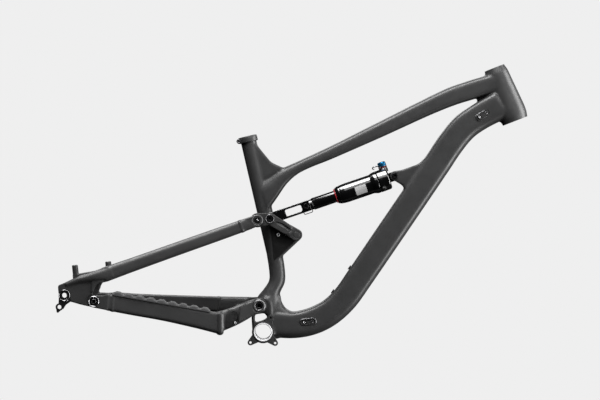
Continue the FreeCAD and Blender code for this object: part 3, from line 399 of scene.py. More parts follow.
# How high a surface grain stands, in metres.
GRAIN_HEIGHT = 0.0002


def set_inputs(node, values):
    """Sets a shader node's inputs by their names."""
    for socket, value in values.items():
        node.inputs[socket].default_value = value


def make_material(name, colour, metallic, roughness, spread, grain, bump, tint=0.12, coat=0.0,
                  coat_roughness=0.1, specular=0.5):
    """A procedural finish: colour and roughness that vary a little, and a fine surface grain."""
    material = bpy.data.materials.new(name)
    material.use_nodes = True
    nodes = material.node_tree.nodes
    links = material.node_tree.links
    shader = nodes["Principled BSDF"]
    set_inputs(shader, {"Metallic": metallic, "Specular IOR Level": specular,
                        "Coat Weight": coat, "Coat Roughness": coat_roughness})
    coordinates = nodes.new("ShaderNodeTexCoord")

    def noise(scale, detail=3):
        node = nodes.new("ShaderNodeTexNoise")
        set_inputs(node, {"Scale": scale, "Detail": detail})
        links.new(coordinates.outputs["Object"], node.inputs["Vector"])
        return node.outputs["Fac"]

    low, high = NOISE_BAND
    ramp = nodes.new("ShaderNodeValToRGB")
    for element, place, share in zip(ramp.color_ramp.elements, NOISE_BAND, (1 - tint, 1 + tint)):
        element.position = place
        element.color = [c * share for c in colour] + [1]
    links.new(noise(14), ramp.inputs["Fac"])
    links.new(ramp.outputs["Color"], shader.inputs["Base Color"])
    rough = nodes.new("ShaderNodeMapRange")
    set_inputs(rough, {"From Min": low, "From Max": high,
                       "To Min": roughness - spread, "To Max": roughness + spread})
    links.new(noise(60, 4), rough.inputs["Value"])
    links.new(rough.outputs["Result"], shader.inputs["Roughness"])
    relief = nodes.new("ShaderNodeBump")
    set_inputs(relief, {"Strength": bump, "Distance": GRAIN_HEIGHT})
    links.new(noise(grain), relief.inputs["Height"])
    links.new(relief.outputs["Normal"], shader.inputs["Normal"])
    MATERIALS[name] = material


# Name, colour, metallic, roughness and its spread, scale of the grain, strength of the bumps.
make_material("frame_finish", (0.036, 0.036, 0.0363), 0.0, 0.40, 0.05, 1800, 0.16, tint=0.06)
make_material("black_anodised", (0.010, 0.010, 0.011), 0.3, 0.34, 0.06, 2500, 0.2)
make_material("bare_alloy", (0.88, 0.88, 0.89), 0.35, 0.38, 0.06, 2200, 0.2, tint=0.03)
make_material("polished_alloy", (0.34, 0.34, 0.35), 1.0, 0.34, 0.05, 1500, 0.12, tint=0.05)
make_material("bolt_steel", (0.010, 0.010, 0.011), 0.6, 0.30, 0.08, 2600, 0.3)
make_material("bearing_steel", (0.50, 0.50, 0.51), 1.0, 0.25, 0.06, 2000, 0.15)
make_material("black_rubber", (0.007, 0.007, 0.007), 0.0, 0.60, 0.08, 3000, 0.5, specular=0.3)
make_material("red_rubber", (0.35, 0.012, 0.02), 0.0, 0.40, 0.05, 2500, 0.2)
make_material("gloss_black", (0.003, 0.003, 0.0033), 0.0, 0.17, 0.03, 1500, 0.04,
              coat=1.0, coat_roughness=0.05, specular=1.0)
make_material("black_plastic", (0.006, 0.006, 0.006), 0.0, 0.42, 0.07, 2600, 0.3, specular=0.4)
make_material("blue_anodised", (0.01, 0.14, 0.30), 0.75, 0.30, 0.06, 2400, 0.2)
make_material("red_anodised", (0.12, 0.008, 0.006), 0.75, 0.34, 0.06, 2400, 0.2)
make_material("pivot_ring", (0.20, 0.20, 0.202), 0.9, 0.42, 0.06, 2000, 0.2)
make_material("label_film", (0.46, 0.46, 0.46), 0.0, 0.45, 0.05, 1600, 0.05, tint=0.25)
make_material("guard_rubber", (0.050, 0.050, 0.051), 0.0, 0.55, 0.07, 2800, 0.4, tint=0.08)


def paint(obj, look):
    """Gives an object one material."""
    obj.data.materials.clear()
    obj.data.materials.append(MATERIALS[look])


def finish_piece(obj, name, body, slot, nodes=(), sharp=USUAL, look=None):
    """Names, paints and shades a piece, and has it ride on a body in place of its CAD nodes.

    The look is the name of a material, where it isn't the slot's own.
    """
    obj.name = name
    obj.data.name = name
    shade(obj, sharp)
    paint(obj, look or slot)
    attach(obj, body)
    if nodes:
        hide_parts(*nodes)


# ---- Front triangle ----
# Stations of a tube: x, z, y, pitch, half depth, half width, upper and lower chamfer.
DOWN_TUBE = [(12, 18, 0, 2, 28, 27, 3, 9), (30, 18.5, 0, 2, 29.4, 28.5, 3, 9),
             (62, 19.7, 0, 4, 29.2, 28.5, 3, 9), (92, 27, 0, 12, 29.9, 27.5, 3, 9),
             (120, 39.8, 0, 26, 29.9, 26.5, 3, 8.5), (146.9, 59.4, 0, 40, 29.2, 26, 3, 8.5),
             (173.2, 90.4, 0, 53, 29.3, 25.5, 3, 8.5), (197.6, 132.6, 0, 60.5, 29.5, 25, 3, 8.5),
             (256, 237.5, 0, 61, 29.8, 24.5, 3, 8.5), (314.3, 342.4, 0, 61, 29.8, 24.5, 3, 8.5),
             (348.2, 403.6, 0, 61, 29.7, 25, 3, 8.5), (370.3, 444.4, 0, 57.5, 29.8, 25.5, 3, 8.5),
             (396.9, 483.4, 0, 47.5, 30, 26, 3, 8.5), (428.2, 510.5, 0, 38, 30, 26, 3, 8),
             (472, 540.5, 0, 32, 32, 29, 5, 8)]
TOP_TUBE = [(-27, 298, 0, 20, 37, 19, 26, 6), (-8.7, 317.3, 0, 26, 27.1, 19.5, 20, 5),
            (14, 342.5, 0, 31, 17.5, 20, 10, 4), (44, 365, 0, 30.5, 12.2, 20, 5.5, 3),
            (111.5, 402.5, 0, 29.5, 13.4, 20, 4.5, 3), (211.5, 461, 0, 30.5, 16.4, 21, 4.5, 3),
            (311.5, 520.5, 0, 30, 18.6, 22, 4.5, 3), (362, 548.5, 0, 28, 20.4, 22.5, 4.5, 3),
            (396, 563.5, 0, 23.5, 21, 22.5, 4, 3), (429.5, 576.8, 0, 22.5, 21.5, 22.5, 4, 4),
            (464, 590, 0, 22, 22, 26, 5, 5)]
SEAT_TUBE_LOWER = [(SEAT_BOTTOM[0], SEAT_BOTTOM[1], 0, -71.7, SEAT_RADIUS, SEAT_RADIUS),
                   (17.5, 138, 0, -79, 17.4, 18.5), (20, 112, 0, -90, 17.5, 20.5),
                   (10.3, 88, 0, -98, 18.8, 24), (6.5, 67, 0, -98, 26.5, 27),
                   (15, 50, 0, -94, 22, 26.5), (24, 34, 0, -90, 15, 24)]


def slimmed_bracket():
    """The bottom bracket forging, stepped in behind the rib so that the tubes flow out of it."""
    obj = node_copy("bb_bracket")
    clear_x, clear_y = 90, 34
    cutters = []
    for side in SIDES:
        rings = []
        for z, x, y in ((96, 2, 13), (72, 10, 15), (40, 14, 20), (-30, 21, 21)):
            corners = ((x, y), (clear_x, y), (clear_x, clear_y), (x, clear_y))
            rings.append([vec((ahead, z), out) for ahead, out in corners])
        cutters.append(on_side(rings_solid(rings), side))
    for cutter in cutters:
        shade(cutter)
    cut(obj, cutters)
    return obj


# Levels of the web: z, x of its front, half width.
WEB_LEVELS = [(86, 27.5, 13), (80, 29.6, 15.5), (76, 30.6, 17), (72, 32.2, 18.5), (68, 34.2, 19.5),
              (64, 36.8, 20.5), (60, 39.6, 21.5), (57, 42.0, 22.3), (54, 46.0, 23), (52, 49.6, 23.6),
              (50.5, 52.6, 24), (49.4, 55.5, 24.2), (36, 70, 24.5)]


def bracket_web():
    """The forging's middle, which fills the corner between the seat tube and the down tube."""
    back = 2.0
    rings = []
    for z, front, half in WEB_LEVELS:
        side = [(front, half - 9), (front - 1.5, half - 4), (front - 5, half - 1),
                (front - 9, half), (back, half)]
        ring = side + [(x, -y) for x, y in side[::-1]]
        rings.append([vec((x, z), y) for x, y in ring])
    return rings_solid(rings)


def bracket_rib():
    """The rounded rib that runs down the forging's drive side from the main pivot's housing."""
    spine = [(-6, 72.5), (2, 70.5), (8, 64), (10.5, 54), (12.5, 40), (15.5, 24), (19, 10), (23, -5)]
    middle_y, reach, height = -26.4, 4.2, 3.8
    rings = []
    for i, place in enumerate(spine):
        ahead = unit(spine[max(i - 1, 0)], spine[min(i + 1, len(spine) - 1)])
        across = vec((-ahead[1], ahead[0]))
        rings.append(oval(vec(place, middle_y), across * reach, Y_AXIS * height, 24))
    return rings_solid(rings)


def make_front_skin():
    head_gusset = [(420, 551), (470, 572), (470, 548), (421, 546)]
    top = vec(HEAD_TOP)
    seat_top = vec(SEAT_TOP)
    seat_length = math.dist(SEAT_TOP, SEAT_BOTTOM)
    spare = 5.0
    head = turned(top, head_axis, [
        (-spare, TIP), (-spare, 22.6), (0, 22.6), (13, 26), (22, 26.6), (98, 31.5), (113, 31.2),
        (HEAD_LENGTH, 28.4), (HEAD_LENGTH + spare, 28.4), (HEAD_LENGTH + spare, TIP)])
    seat = turned(seat_top, seat_axis, [
        (-spare, TIP), (-spare, SEAT_RADIUS), (seat_length + 2, SEAT_RADIUS), (seat_length + 2, TIP)])
    obj = skin([
        head, seat,
        tube(DOWN_TUBE, sharpness=8), tube(TOP_TUBE, sharpness=9), tube(SEAT_TUBE_LOWER, sharpness=2.2),
        plate(head_gusset, -9, 9),
        node_copy("seat_gusset"), slimmed_bracket(), bracket_web(), bracket_rib(),
        node_copy("rocker_bracket"), node_copy("shock_mount")], voxel=2.08, smoothing=11)
    head_end = top + head_axis * HEAD_LENGTH
    bore = [(-8, TIP), (-8, 20.9), (6, 20.9), (6, 18.5), (20, 22.5), (98, 26.5), (117, 24), (117, 26),
            (HEAD_LENGTH + 8, 26.0), (HEAD_LENGTH + 8, TIP)]
    seat_bore = [(-10, TIP), (-10, SEATPOST_RADIUS), (seat_length, SEATPOST_RADIUS), (seat_length, TIP)]
    cutters = [
        turned(top, head_axis, [(-12, TIP), (-12, 40), (0, 40), (0, TIP)]),
        turned(head_end, head_axis, [(0, TIP), (0, 40), (12, 40), (12, TIP)]),
        turned(top, head_axis, bore, segments=96),
        turned(seat_top, seat_axis, [(-12, TIP), (-12, 30), (0, 30), (0, TIP)]),
        turned(seat_top, seat_axis, seat_bore, segments=96),
        disc((0, 0), SHELL_RADIUS, -40, 40),
        disc(MAIN_PIVOT, 7.6, -40, 40, 64),
        disc(ROCKER_PIVOT, 5.1, -30, 30, 48)]
    cut(obj, cutters)
    finish_piece(obj, "frame_front", "front_triangle", "frame_finish",
                 ("head_tube", "top_tube", "down_tube", "seat_tube", "seat_tube_lower", "seat_gusset",
                  "bb_bracket", "rocker_bracket", "shock_mount"))


def make_bb_shell():
    """The bottom bracket shell, with the start of its thread cut in each end."""
    half = 36.5
    bore = 17.4
    crest = 17.9
    pitch = 1.4
    turns = 10
    inner = []
    for i in range(turns):
        s = -half + 1.5 + pitch * i
        inner += [(s, crest), (s + pitch * 0.45, bore)]
    inner += [(-s, r) for s, r in inner[::-1]]
    bevel = 0.6
    radius = SHELL_RADIUS - 0.02
    outer = [(half, SHELL_RADIUS - bevel), (half - bevel, radius), (-half + bevel, radius),
             (-half, SHELL_RADIUS - bevel)]
    profile = [(-half, crest + bevel)] + inner + [(half, crest + bevel)] + outer
    obj = turned(vec((0, 0)), Y_AXIS, profile, closed=True, segments=96)
    finish_piece(obj, "bb_shell_threaded", "front_triangle", "bare_alloy", ("bb_shell",))


def socket_bolt(place, y_seat, y_top, head_radius, socket_radius, shank_radius=None, y_end=None, rim=0.5):
    """A socket-head bolt along Y, whose head runs from its seat to its top, hexagon and all."""
    out = 1.0 if y_top > y_seat else -1.0
    height = abs(y_top - y_seat)
    depth = min(height * 0.75, socket_radius * 1.3)
    profile = [(0, TIP)]
    if shank_radius:
        end = -abs(y_end - y_seat)
        point = 0.4
        profile = [(end, TIP), (end, shank_radius - point), (end + point, shank_radius), (0, shank_radius)]
    profile += [(0, head_radius), (height - rim, head_radius), (height - rim * 0.4, head_radius - rim * 0.4),
                (height, head_radius - rim), (height, socket_radius * 1.18),
                (height - 0.25, socket_radius, hexagon), (height - depth, socket_radius, hexagon),
                (height - depth - 0.3, TIP)]
    return turned(vec(place, y_seat), Y_AXIS * out, profile, segments=72)


def bolt_pair(place, seat, top, head_radius, socket_radius, shank_radius, end, rim=0.5):
    """A socket-head bolt on each side, at distances from the mid-plane."""
    return [socket_bolt(place, side * seat, side * top, head_radius, socket_radius, shank_radius,
                        side * end, rim) for side in SIDES]


def make_seat_collar():
    """The clamp round the top of the seat tube, slotted between its two lugs."""
    profile = [(-6.2, 15.6), (-6.2, 19.4), (-5.4, 20.4), (-3.8, 20.9), (-3.4, 20.4), (-2.6, 20.4),
               (-2.2, 20.9), (6.2, 20.9), (7, 20.2), (7, 17.4), (-0.3, 17.4), (-0.3, 15.6)]
    ring = turned(vec(SEAT_TOP), seat_axis, profile, closed=True, segments=96)
    shade(ring)
    lug_outline = ((15, -4.4), (22.5, -4.4), (25.4, -1.8), (25.4, 3.2), (22.8, 6), (15, 6.4))
    slot_outline = ((12, -12), (30, -12), (30, 12), (12, 12))
    lug, slot = (plate([along(along(SEAT_TOP, seat_back, back), seat_down, down) for back, down in outline],
                       -half_width, half_width)
                 for outline, half_width in ((lug_outline, 9), (slot_outline, 1.1)))
    obj = skin([ring, lug], voxel=0.7, smoothing=3)
    cut(obj, [slot])
    finish_piece(obj, "seat_collar", "front_triangle", "frame_finish", ("seat_clamp",))


def make_front_fasteners():
    half = 19.0
    heads = [socket_bolt(SHOCK_FRONT_EYE, -half, -half - 4, 6.5, 2.8, 4.0, half),
             socket_bolt(SHOCK_FRONT_EYE, half, half + 4, 6.5, 2.8)]
    finish_piece(join(heads), "shock_front_hardware", "front_triangle", "bolt_steel",
                 ("shock_front_bolt",), CRISP)
    pinch = along(along(SEAT_TOP, seat_down, 0.8), seat_back, 21.2)
    heads = [socket_bolt(pinch, -9, -13, 4.5, 2.2, 2.6, 9), socket_bolt(pinch, 9, 12, 4.5, 1.5)]
    finish_piece(join(heads), "seat_pinch_bolt", "front_triangle", "polished_alloy",
                 ("seat_clamp_bolt",), CRISP)
    screw = socket_bolt(BRACKET_SCREW, -18, -20.5, 4.0, 1.8, 2.5, -11)
    finish_piece(screw, "bracket_button_screw", "front_triangle", "bare_alloy", ("bracket_screw",), CRISP)
    profile = [(0, TIP), (0, 7.45), (40.6, 7.45), (41.3, 6.9), (41.5, 6.2), (41.5, 4.9),
               (40.9, 4.3, hexagon), (35, 4.3, hexagon), (34.6, TIP)]
    finish_piece(join(turned_pair(MAIN_PIVOT, profile)), "main_pivot_shaft", "front_triangle", "bolt_steel",
                 ("main_pivot_axle",), CRISP)


def make_bracket_shade_plate():
    """A black plate, held by a screw, on the outrigger's drive side: painted shade, a dark sheet standing
    where the bracket's side lies in shade.
    """
    outline = [(-6, 233), (20, 220), (44, 206.5), (54, 205), (25, 172), (9, 156), (3, 190)]
    # Painted shade: a thin dark sheet over the side of the bracket, which is in shade.
    shade_plate = plate(outline, -18.7, -16)
    finish_piece(shade_plate, "bracket_shade_plate", "front_triangle", "black_plastic")
    bevel = shade_plate.modifiers.new("bevel", "BEVEL")
    bevel.width = 0.5 * MM
    bevel.segments = 2


def pill_ring(centre, pitch, reach, radius, y, count=48):
    """Points round a pill shape in a plane across Y."""
    ahead = direction_at(pitch)
    up = direction_at(pitch + 90)
    ring = []
    for j in range(count):
        angle = 2 * math.pi * (j + 0.5) / count
        shift = reach if math.cos(angle) > 0 else -reach
        place = along(along(centre, ahead, shift + radius * math.cos(angle)), up, radius * math.sin(angle))
        ring.append(vec(place, y))
    return ring


def make_cable_port(name, centre, pitch, surface_y, node):
    """A rubber grommet with a metal rim and a cable's mouth and ferrule. Gives back its screw."""
    y = -surface_y
    reach = 11.0
    mouth_reach = 4.5
    ahead = direction_at(pitch)

    def stack(profile, closed=False):
        rings = [pill_ring(centre, pitch, reach, radius, y + depth) for depth, radius in profile]
        return rings_solid(rings, closed)

    body = stack([(6.5, 6.4), (1, 6.5), (-0.6, 6.5), (-1.3, 6.1), (-1.6, 5.4), (-1.2, 4.8), (-0.2, 4.4)])
    mouth = rings_solid([pill_ring(along(centre, ahead, mouth_reach), pitch, mouth_reach, 2.5, y + depth, 32)
                         for depth in (-4, 3)])
    shade(body)
    shade(mouth)
    cut(body, [mouth])
    finish_piece(body, name, "front_triangle", "black_rubber", (node,))
    ferrule = eased([(-1.5, 2), (0.9, 2), (0.9, 2.7), (-1.5, 2.7)], 0.25)
    lip = turned(vec(along(centre, ahead, 9.2), y - 0.4), -Y_AXIS, ferrule, closed=True, segments=36)
    finish_piece(lip, name + "_ferrule", "front_triangle", "polished_alloy")
    rim = stack([(1.5, 6.5), (1.5, 7.6), (-0.3, 7.7), (-0.9, 7.2), (-0.9, 6.7), (-0.5, 6.5)], closed=True)
    finish_piece(rim, name + "_rim", "front_triangle", "polished_alloy")
    return socket_bolt(along(centre, ahead, -8.5), y - 0.3, y - 2.4, 2.8, 1.3, 1.4, y + 4, 0.4)


def make_cable_ports():
    screws = [make_cable_port("cable_grommet_upper", (434, 514), 38, 25.9, "cable_port_upper"),
              make_cable_port("cable_grommet_lower", (95, 31), 12, 27.6, "cable_port_lower")]
    finish_piece(join(screws), "cable_grommet_screws", "front_triangle", "bearing_steel",
                 ("cable_port_screws",), CRISP)


# ---- Chainstays ----
DRIVE_STAY = [(-104, 12, 46, 6, 23.2, 9.5, 3, 6), (-149, 17.5, 51, 7, 21.2, 10, 3, 6),
              (-219, 25.8, 60, 6, 19.6, 10, 3, 5), (-289, 32.2, 69.5, 5, 19.2, 9.8, 3, 4.5),
              (-338, 36.9, 77.5, 0, 18.4, 9.6, 3, 4)]
NON_DRIVE_STAY = [(-104, 47.5, 46, -3, 18, 9.5, 1.5, 5), (-149, 45, 51, -3, 17.6, 10, 1.5, 5),
                  (-219, 41, 60, -3, 17, 10, 1.5, 5), (-289, 37.5, 69.5, -2, 16.5, 9.8, 1.5, 5),
                  (-338, 36.2, 77.5, 0, 16.5, 9.6, 1.5, 4)]


def pushed(station, inner, reach):
    """A station moved away from its inner neighbour."""
    share = reach / math.dist(station[:3], inner[:3])
    return tuple(a + (a - b) * share if i < 3 else a for i, (a, b) in enumerate(zip(station, inner)))


def stretched(stations, reach):
    """Stations with one more pushed outwards at each end, so that the solid runs into its neighbours."""
    first = pushed(stations[0], stations[1], reach)
    last = pushed(stations[-1], stations[-2], reach)
    return [first] + stations + [last]


def weld_band(station, width, proud):
    """A low band round a tube, where two pieces are welded."""
    x, z, y, pitch, half_depth, half_width = station[:6]
    ahead = direction_at(pitch)
    rings = []
    for shift, rise in ((-0.5, -0.8), (-0.3, 0.6), (0, 1), (0.3, 0.6), (0.5, -0.8)):
        place = along((x, z), ahead, shift * width)
        grown = (place[0], place[1], y, pitch, half_depth + rise * proud, half_width + rise * proud)
        rings.append(section(grown + station[6:], 12, 72))
    return rings_solid(rings)


def make_chainstay_skin():
    parts = [node_copy(n) for n in ("chainstay_yoke", "chainstay_lug_drive", "chainstay_lug_nondrive")]
    for side, stay in ((DRIVE, DRIVE_STAY), (NON_DRIVE, NON_DRIVE_STAY)):
        rear = stay[-1]
        pieces = [tube(stretched(stay, 2.0), 14),
                  weld_band((-328, 35.8, 75.5, 2, rear[4] + 0.4, 9.9, 3, 3), 7.0, 0.8)]
        if side == DRIVE:
            pieces.append(weld_band((-95, 11.2, 44.8, 6, 23.4, 9, 3, 6), 16.0, 2.6))
        else:
            pieces.append(weld_band((-106, 47.4, 46.4, -3, 18.2, 9.9, 4, 5), 6.0, 0.7))
        parts += [on_side(p, side) for p in pieces]
    parts.append(yoke_panel())
    obj = skin(parts, voxel=1.25, smoothing=7)
    cut(obj, [guard_groove(), yoke_recess()] + disc_pairs([
        (MAIN_PIVOT, 14.02, 34, 48, 96), (MAIN_PIVOT, 9.5, 24, 36, 96),
        (DROPOUT_PIVOT, 9.05, 85.5, 92, 64), (DROPOUT_PIVOT, 5, 60, 92, 48)]))
    finish_piece(obj, "chainstay_weldment", "chainstays", "frame_finish",
                 ("chainstay_yoke", "chainstay_drive", "chainstay_nondrive", "chainstay_lug_drive",
                  "chainstay_lug_nondrive"))


def yoke_panel():
    """The raised panel between the main pivot and the recess on the drive side of the yoke."""
    rings = []
    for x, low, high, y in ((-24, 40, 66, 42.4), (-38, 29, 60.5, 45.4), (-54, 18, 51.5, 49.0)):
        rings.append([vec((x, low), -y), vec((x, high), -y), vec((x, high), -36), vec((x, low), -36)])
    return rings_solid(rings)


def yoke_recess():
    """A cutter for the flat recess in the yoke's drive side, and the bright facet behind it."""
    front_y, floor_y, facet_y, clear_y = -46.0, -44.2, -56.5, -70.0
    rings = []
    for z, front, middle, rear in ((62, -57.8, -80.5, -85.0), (-14, -52.0, -82.5, -87.0)):
        corners = ((front, front_y), (middle, floor_y), (rear, facet_y), (rear, clear_y), (front, clear_y))
        rings.append([vec((x, z), y) for x, y in corners])
    return rings_solid(rings)


GUARD_START = (-118, 33.8)
GUARD_END = (-330, 54.3)
GUARD_Y = (-47.5, -78)


def guard_frame(t):
    """The guard's middle at a share of its length, and the sideways distance there."""
    middle = tuple(a + (b - a) * t for a, b in zip(GUARD_START, GUARD_END))
    return middle, GUARD_Y[0] + (GUARD_Y[1] - GUARD_Y[0]) * t


def guard_groove():
    """A cutter for the shadow line between the guard and the side of the stay."""
    rings = []
    for t in (0.0, 0.25, 0.5, 0.75, 0.97):
        (x, z), y = guard_frame(t)
        drop = 1.6 - 0.8 * t
        corners = ((7.6, -1.1), (7.6, 1.1), (14, 1.1), (14, -1.1))
        rings.append([vec((x, z - drop + rise), y - reach) for reach, rise in corners])
    return rings_solid(rings)


def make_stay_guard():
    """The ribbed rubber guard along the top of the drive-side chainstay."""
    ribs = 9
    steps_per_rib = 14
    half_width = 10.2
    ahead = unit(GUARD_START, GUARD_END)
    up = (ahead[1], -ahead[0])
    rings = []
    total = ribs * steps_per_rib
    for i in range(total + 1):
        t = i / total
        phase = (t * ribs) % 1.0
        ends = smooth_step(0, 0.02, t) * (1 - smooth_step(0.98, 1, t))
        bump = smooth_step(0.04, 0.36, phase) * (1 - smooth_step(0.64, 0.96, phase))
        height = 4.4 + 4.2 * bump * ends
        foot = 0.2 - 1.0 * t
        middle, y = guard_frame(t)
        edge = [(half_width, foot), (half_width, height - 3.4), (half_width - 0.5, height - 1.6),
                (half_width - 1.6, height - 0.5), (half_width - 3.4, height)]
        outline = [(-across, rise) for across, rise in edge] + [(0, height + 0.3)] + edge[::-1]
        rings.append([vec(along(middle, up, rise), y + across) for across, rise in outline])
    obj = rings_solid(rings)
    finish_piece(obj, "stay_guard", "chainstays", "black_rubber",
                 ("chainstay_protector",), SOFT, "guard_rubber")


def make_chainstay_hardware():
    cap = eased([(41, 8.2), (42, 8.6), (42.5, 9.4), (42.5, 11.9), (42, 12.9), (41.2, 13.9), (41, 13.9)],
                0.3)
    caps = turned_pair(MAIN_PIVOT, cap, closed=True, segments=96)
    finish_piece(join(caps), "main_pivot_rings", "chainstays", "polished_alloy",
                 ("main_pivot_caps",), CRISP, "pivot_ring")
    bolts = bolt_pair(DROPOUT_PIVOT, 85.5, 88.5, 8.9, 3.3, 5.0, 68, 0.7)
    finish_piece(join(bolts), "dropout_bolts", "chainstays", "bolt_steel", ("dropout_pivot_bolts",), CRISP)
    clip = socket_bolt((-62, 15.5), -44.0, -48.0, 2.9, 1.3)
    finish_piece(clip, "yoke_clip_screw", "chainstays", "bearing_steel", sharp=CRISP)
    washer = eased([(87.4, 9.4), (88.4, 9.6), (89, 10.5), (88.5, 11.4), (87.4, 11.9)], 0.4)
    edge = [(88.3, 4.1), (88.7, 4.3), (88.8, 5), (88.3, 5.4)]
    rings = turned_pair(DROPOUT_PIVOT, washer, closed=True) + turned_pair(DROPOUT_PIVOT, edge, closed=True)
    finish_piece(join(rings), "dropout_bolt_rims", "chainstays", "bearing_steel", sharp=SOFT)


# ---- Seatstays ----
SLOPE = 24.6
SEATSTAY = [(-66, 226.0, 43.5, SLOPE, 13.6, 6.6, 5.5, 4.5), (-110, 206.0, 46.0, SLOPE, 14.2, 8.2, 6.5, 5),
            (-200, 164.8, 57.5, SLOPE, 14.6, 8.6, 6.5, 5), (-297, 120.0, 71.0, SLOPE, 15.2, 8.6, 7, 5),
            (-350, 95.5, 78.5, SLOPE, 16.2, 8.4, 7, 5)]
STAY_TAIL = [(-335, 102.4, 77.5, SLOPE, 15.5, 8.0, 7, 5), (-358, 93.4, 79, 22, 13, 9.6, 6, 5),
             (-385, 85.4, 79.6, 20, 9, 9.4, 5, 4), (-408, 77.8, 79.4, 26, 7, 8.8, 4, 3),
             (-432, 66.2, 79, 30, 5, 7.4, 3, 2)]
# The rounded corner in front of the dropout's window.
WINDOW_FILLET = [(-376, 80), (-352, 81), (-357, 78.5), (-362.5, 75), (-367, 70), (-370, 63.5), (-371, 56),
                 (-376, 56)]


def make_seatstay_skin():
    parts = [node_copy(n) for n in ("seatstay_end_drive", "seatstay_end_nondrive", "seatstay_bridge",
                                    "dropout_drive", "dropout_nondrive", "brake_mount")]
    for side in SIDES:
        pieces = [tube(stretched(SEATSTAY, 1.5), 10), tube(STAY_TAIL, 8), plate(WINDOW_FILLET, 73.0, 86.0),
                  weld_band((-68, 225.1, 43.6, SLOPE, 14.0, 7.0, 5, 4), 6.0, 0.8)]
        parts += [on_side(p, side) for p in pieces]
    obj = skin(parts, voxel=1.3, smoothing=9)
    dish = [(84.9, 12.4), (95, 12.4), (95, 21.5), (86.2, 18.6), (84.9, 16.4)]
    cutters = turned_pair(REAR_AXLE, dish, closed=True, segments=96)
    cutters += disc_pairs([(STAY_PIVOT, 6.55, 45.5, 60, 48), (REAR_AXLE, 6.05, 60, 95, 48),
                           (DROPOUT_PIVOT, 9.52, 60, 95, 64)])
    tilt = direction_at(11.3)
    up = (-tilt[1], tilt[0])
    rear_post = (-430.4, 105)
    post_spacing = 74.2
    thread = [(0, TIP), (0, 2.5), (20, 2.5), (20, TIP)]
    for post in (rear_post, along(rear_post, tilt, post_spacing)):
        cutters.append(turned(vec(along(post, up, -16), 65.5), vec(up), thread, segments=36))
    cut(obj, cutters)
    finish_piece(obj, "seatstay_weldment", "seatstays", "frame_finish",
                 ("seatstay_drive", "seatstay_nondrive", "seatstay_end_drive", "seatstay_end_nondrive",
                  "seatstay_bridge", "dropout_drive", "dropout_nondrive", "brake_mount"))


def make_seatstay_hardware():
    bolts = bolt_pair(STAY_PIVOT, 45.6, 48.4, 6.4, 2.8, 4.0, 38.5)
    finish_piece(join(bolts), "stay_bolts", "seatstays", "bolt_steel", ("stay_pivot_bolts",), CRISP)
    outer = eased([(47.2, 10.2), (48.1, 10.3), (48.5, 10.8), (48.2, 11.3), (47.2, 11.5)], 0.3)
    rings = turned_pair(STAY_PIVOT, outer, closed=True, segments=96)
    finish_piece(join(rings), "stay_end_rims", "seatstays", "polished_alloy", sharp=SOFT, look="pivot_ring")
    stud = [(47.0, TIP), (47, 2.6), (48.3, 2.5), (48.9, 1.9), (49.1, 1), (49.1, TIP)]
    studs = turned_pair(STAY_PIVOT, stud, segments=64)
    finish_piece(join(studs), "stay_bolt_studs", "seatstays", "bearing_steel", sharp=SOFT)
    crest, root, pitch = 5.25, 5.7, 1.6
    thread = [(84, 5.6)]
    for i in range(4):
        thread += [(84.4 + pitch * i, crest), (85.2 + pitch * i, root)]
    thread += [(91, 5.4), (91, 6.04), (84, 6.04)]
    insert = turned(vec(REAR_AXLE), -Y_AXIS, thread, closed=True, segments=64)
    finish_piece(insert, "hanger_axle_thread", "seatstays", "bolt_steel")
    edge = eased([(90.4, 10.6), (91.4, 10.9), (91.7, 11.5), (91.4, 12.1), (90.4, 12.4)], 0.4)
    rim = turned(vec(REAR_AXLE), -Y_AXIS, edge, closed=True, segments=96)
    finish_piece(rim, "hanger_rim", "seatstays", "bearing_steel", sharp=SOFT)
    bolt = socket_bolt(HANGER_BOLT, -89.2, -91.4, 2.9, 1.35, 1.6, -80.5, 0.3)
    finish_piece(bolt, "hanger_fixing_bolt", "seatstays", "polished_alloy", ("hanger_bolt",), CRISP)


# ---- Rocker ----
def rocker_pocket(side):
    """A cutter for the wedge-shaped pocket in a side of the rocker, deepest at its upper edge."""
    edge = [((6, 243), 33.0), ((20, 240.5), 32.5), ((45, 227), 30.0), ((43, 221.8), 33.0),
            ((22, 231), 36.0), ((10, 235.5), 37.0)]
    floor = [vec(place, y) for place, y in edge]
    mouth = [vec(place, 42.0) for place, y in edge]
    pocket = rings_solid([floor, mouth])
    shade(pocket)
    return on_side(pocket, side)


def make_rocker():
    groove = [(9, 242.5), (4, 236.5), (36, 219.5), (40, 226.5)]
    parts = [node_copy("rocker_link")]
    parts += [plate(groove, *sorted((side * 31.0, side * 36.9))) for side in SIDES]
    obj = skin(parts, voxel=0.75, smoothing=8)
    cut(obj, [rocker_pocket(side) for side in SIDES] + disc_pairs([(ROCKER_PIVOT, 7.05, 26, 34, 64)]))
    finish_piece(obj, "rocker_forging", "rocker", "frame_finish", ("rocker_link",))
    cap = [(27, TIP), (27, 6.9), (30.9, 6.9), (31.3, 6.4), (31.5, 4), (31.5, TIP)]
    finish_piece(join(turned_pair(ROCKER_PIVOT, cap)), "rocker_caps", "rocker", "frame_finish",
                 ("rocker_pivot_caps",), CRISP)
    rim = eased([(37, 7.9), (39.6, 7.9), (40.4, 8.3), (40.4, 9), (39.4, 9.5), (37, 9.5)], 0.3)
    rims = turned_pair(YOKE_PIVOT, rim, closed=True)
    finish_piece(join(rims), "yoke_bolt_rims", "rocker", "polished_alloy", sharp=CRISP)
    bolts = bolt_pair(YOKE_PIVOT, 37.0, 39.6, 7.9, 3.2, 4.0, 28, 0.4)
    finish_piece(join(bolts), "yoke_bolt_heads", "rocker", "bolt_steel", ("yoke_pivot_bolts",), CRISP)


# ---- Shock ----
CAN_RADIUS = 21.6


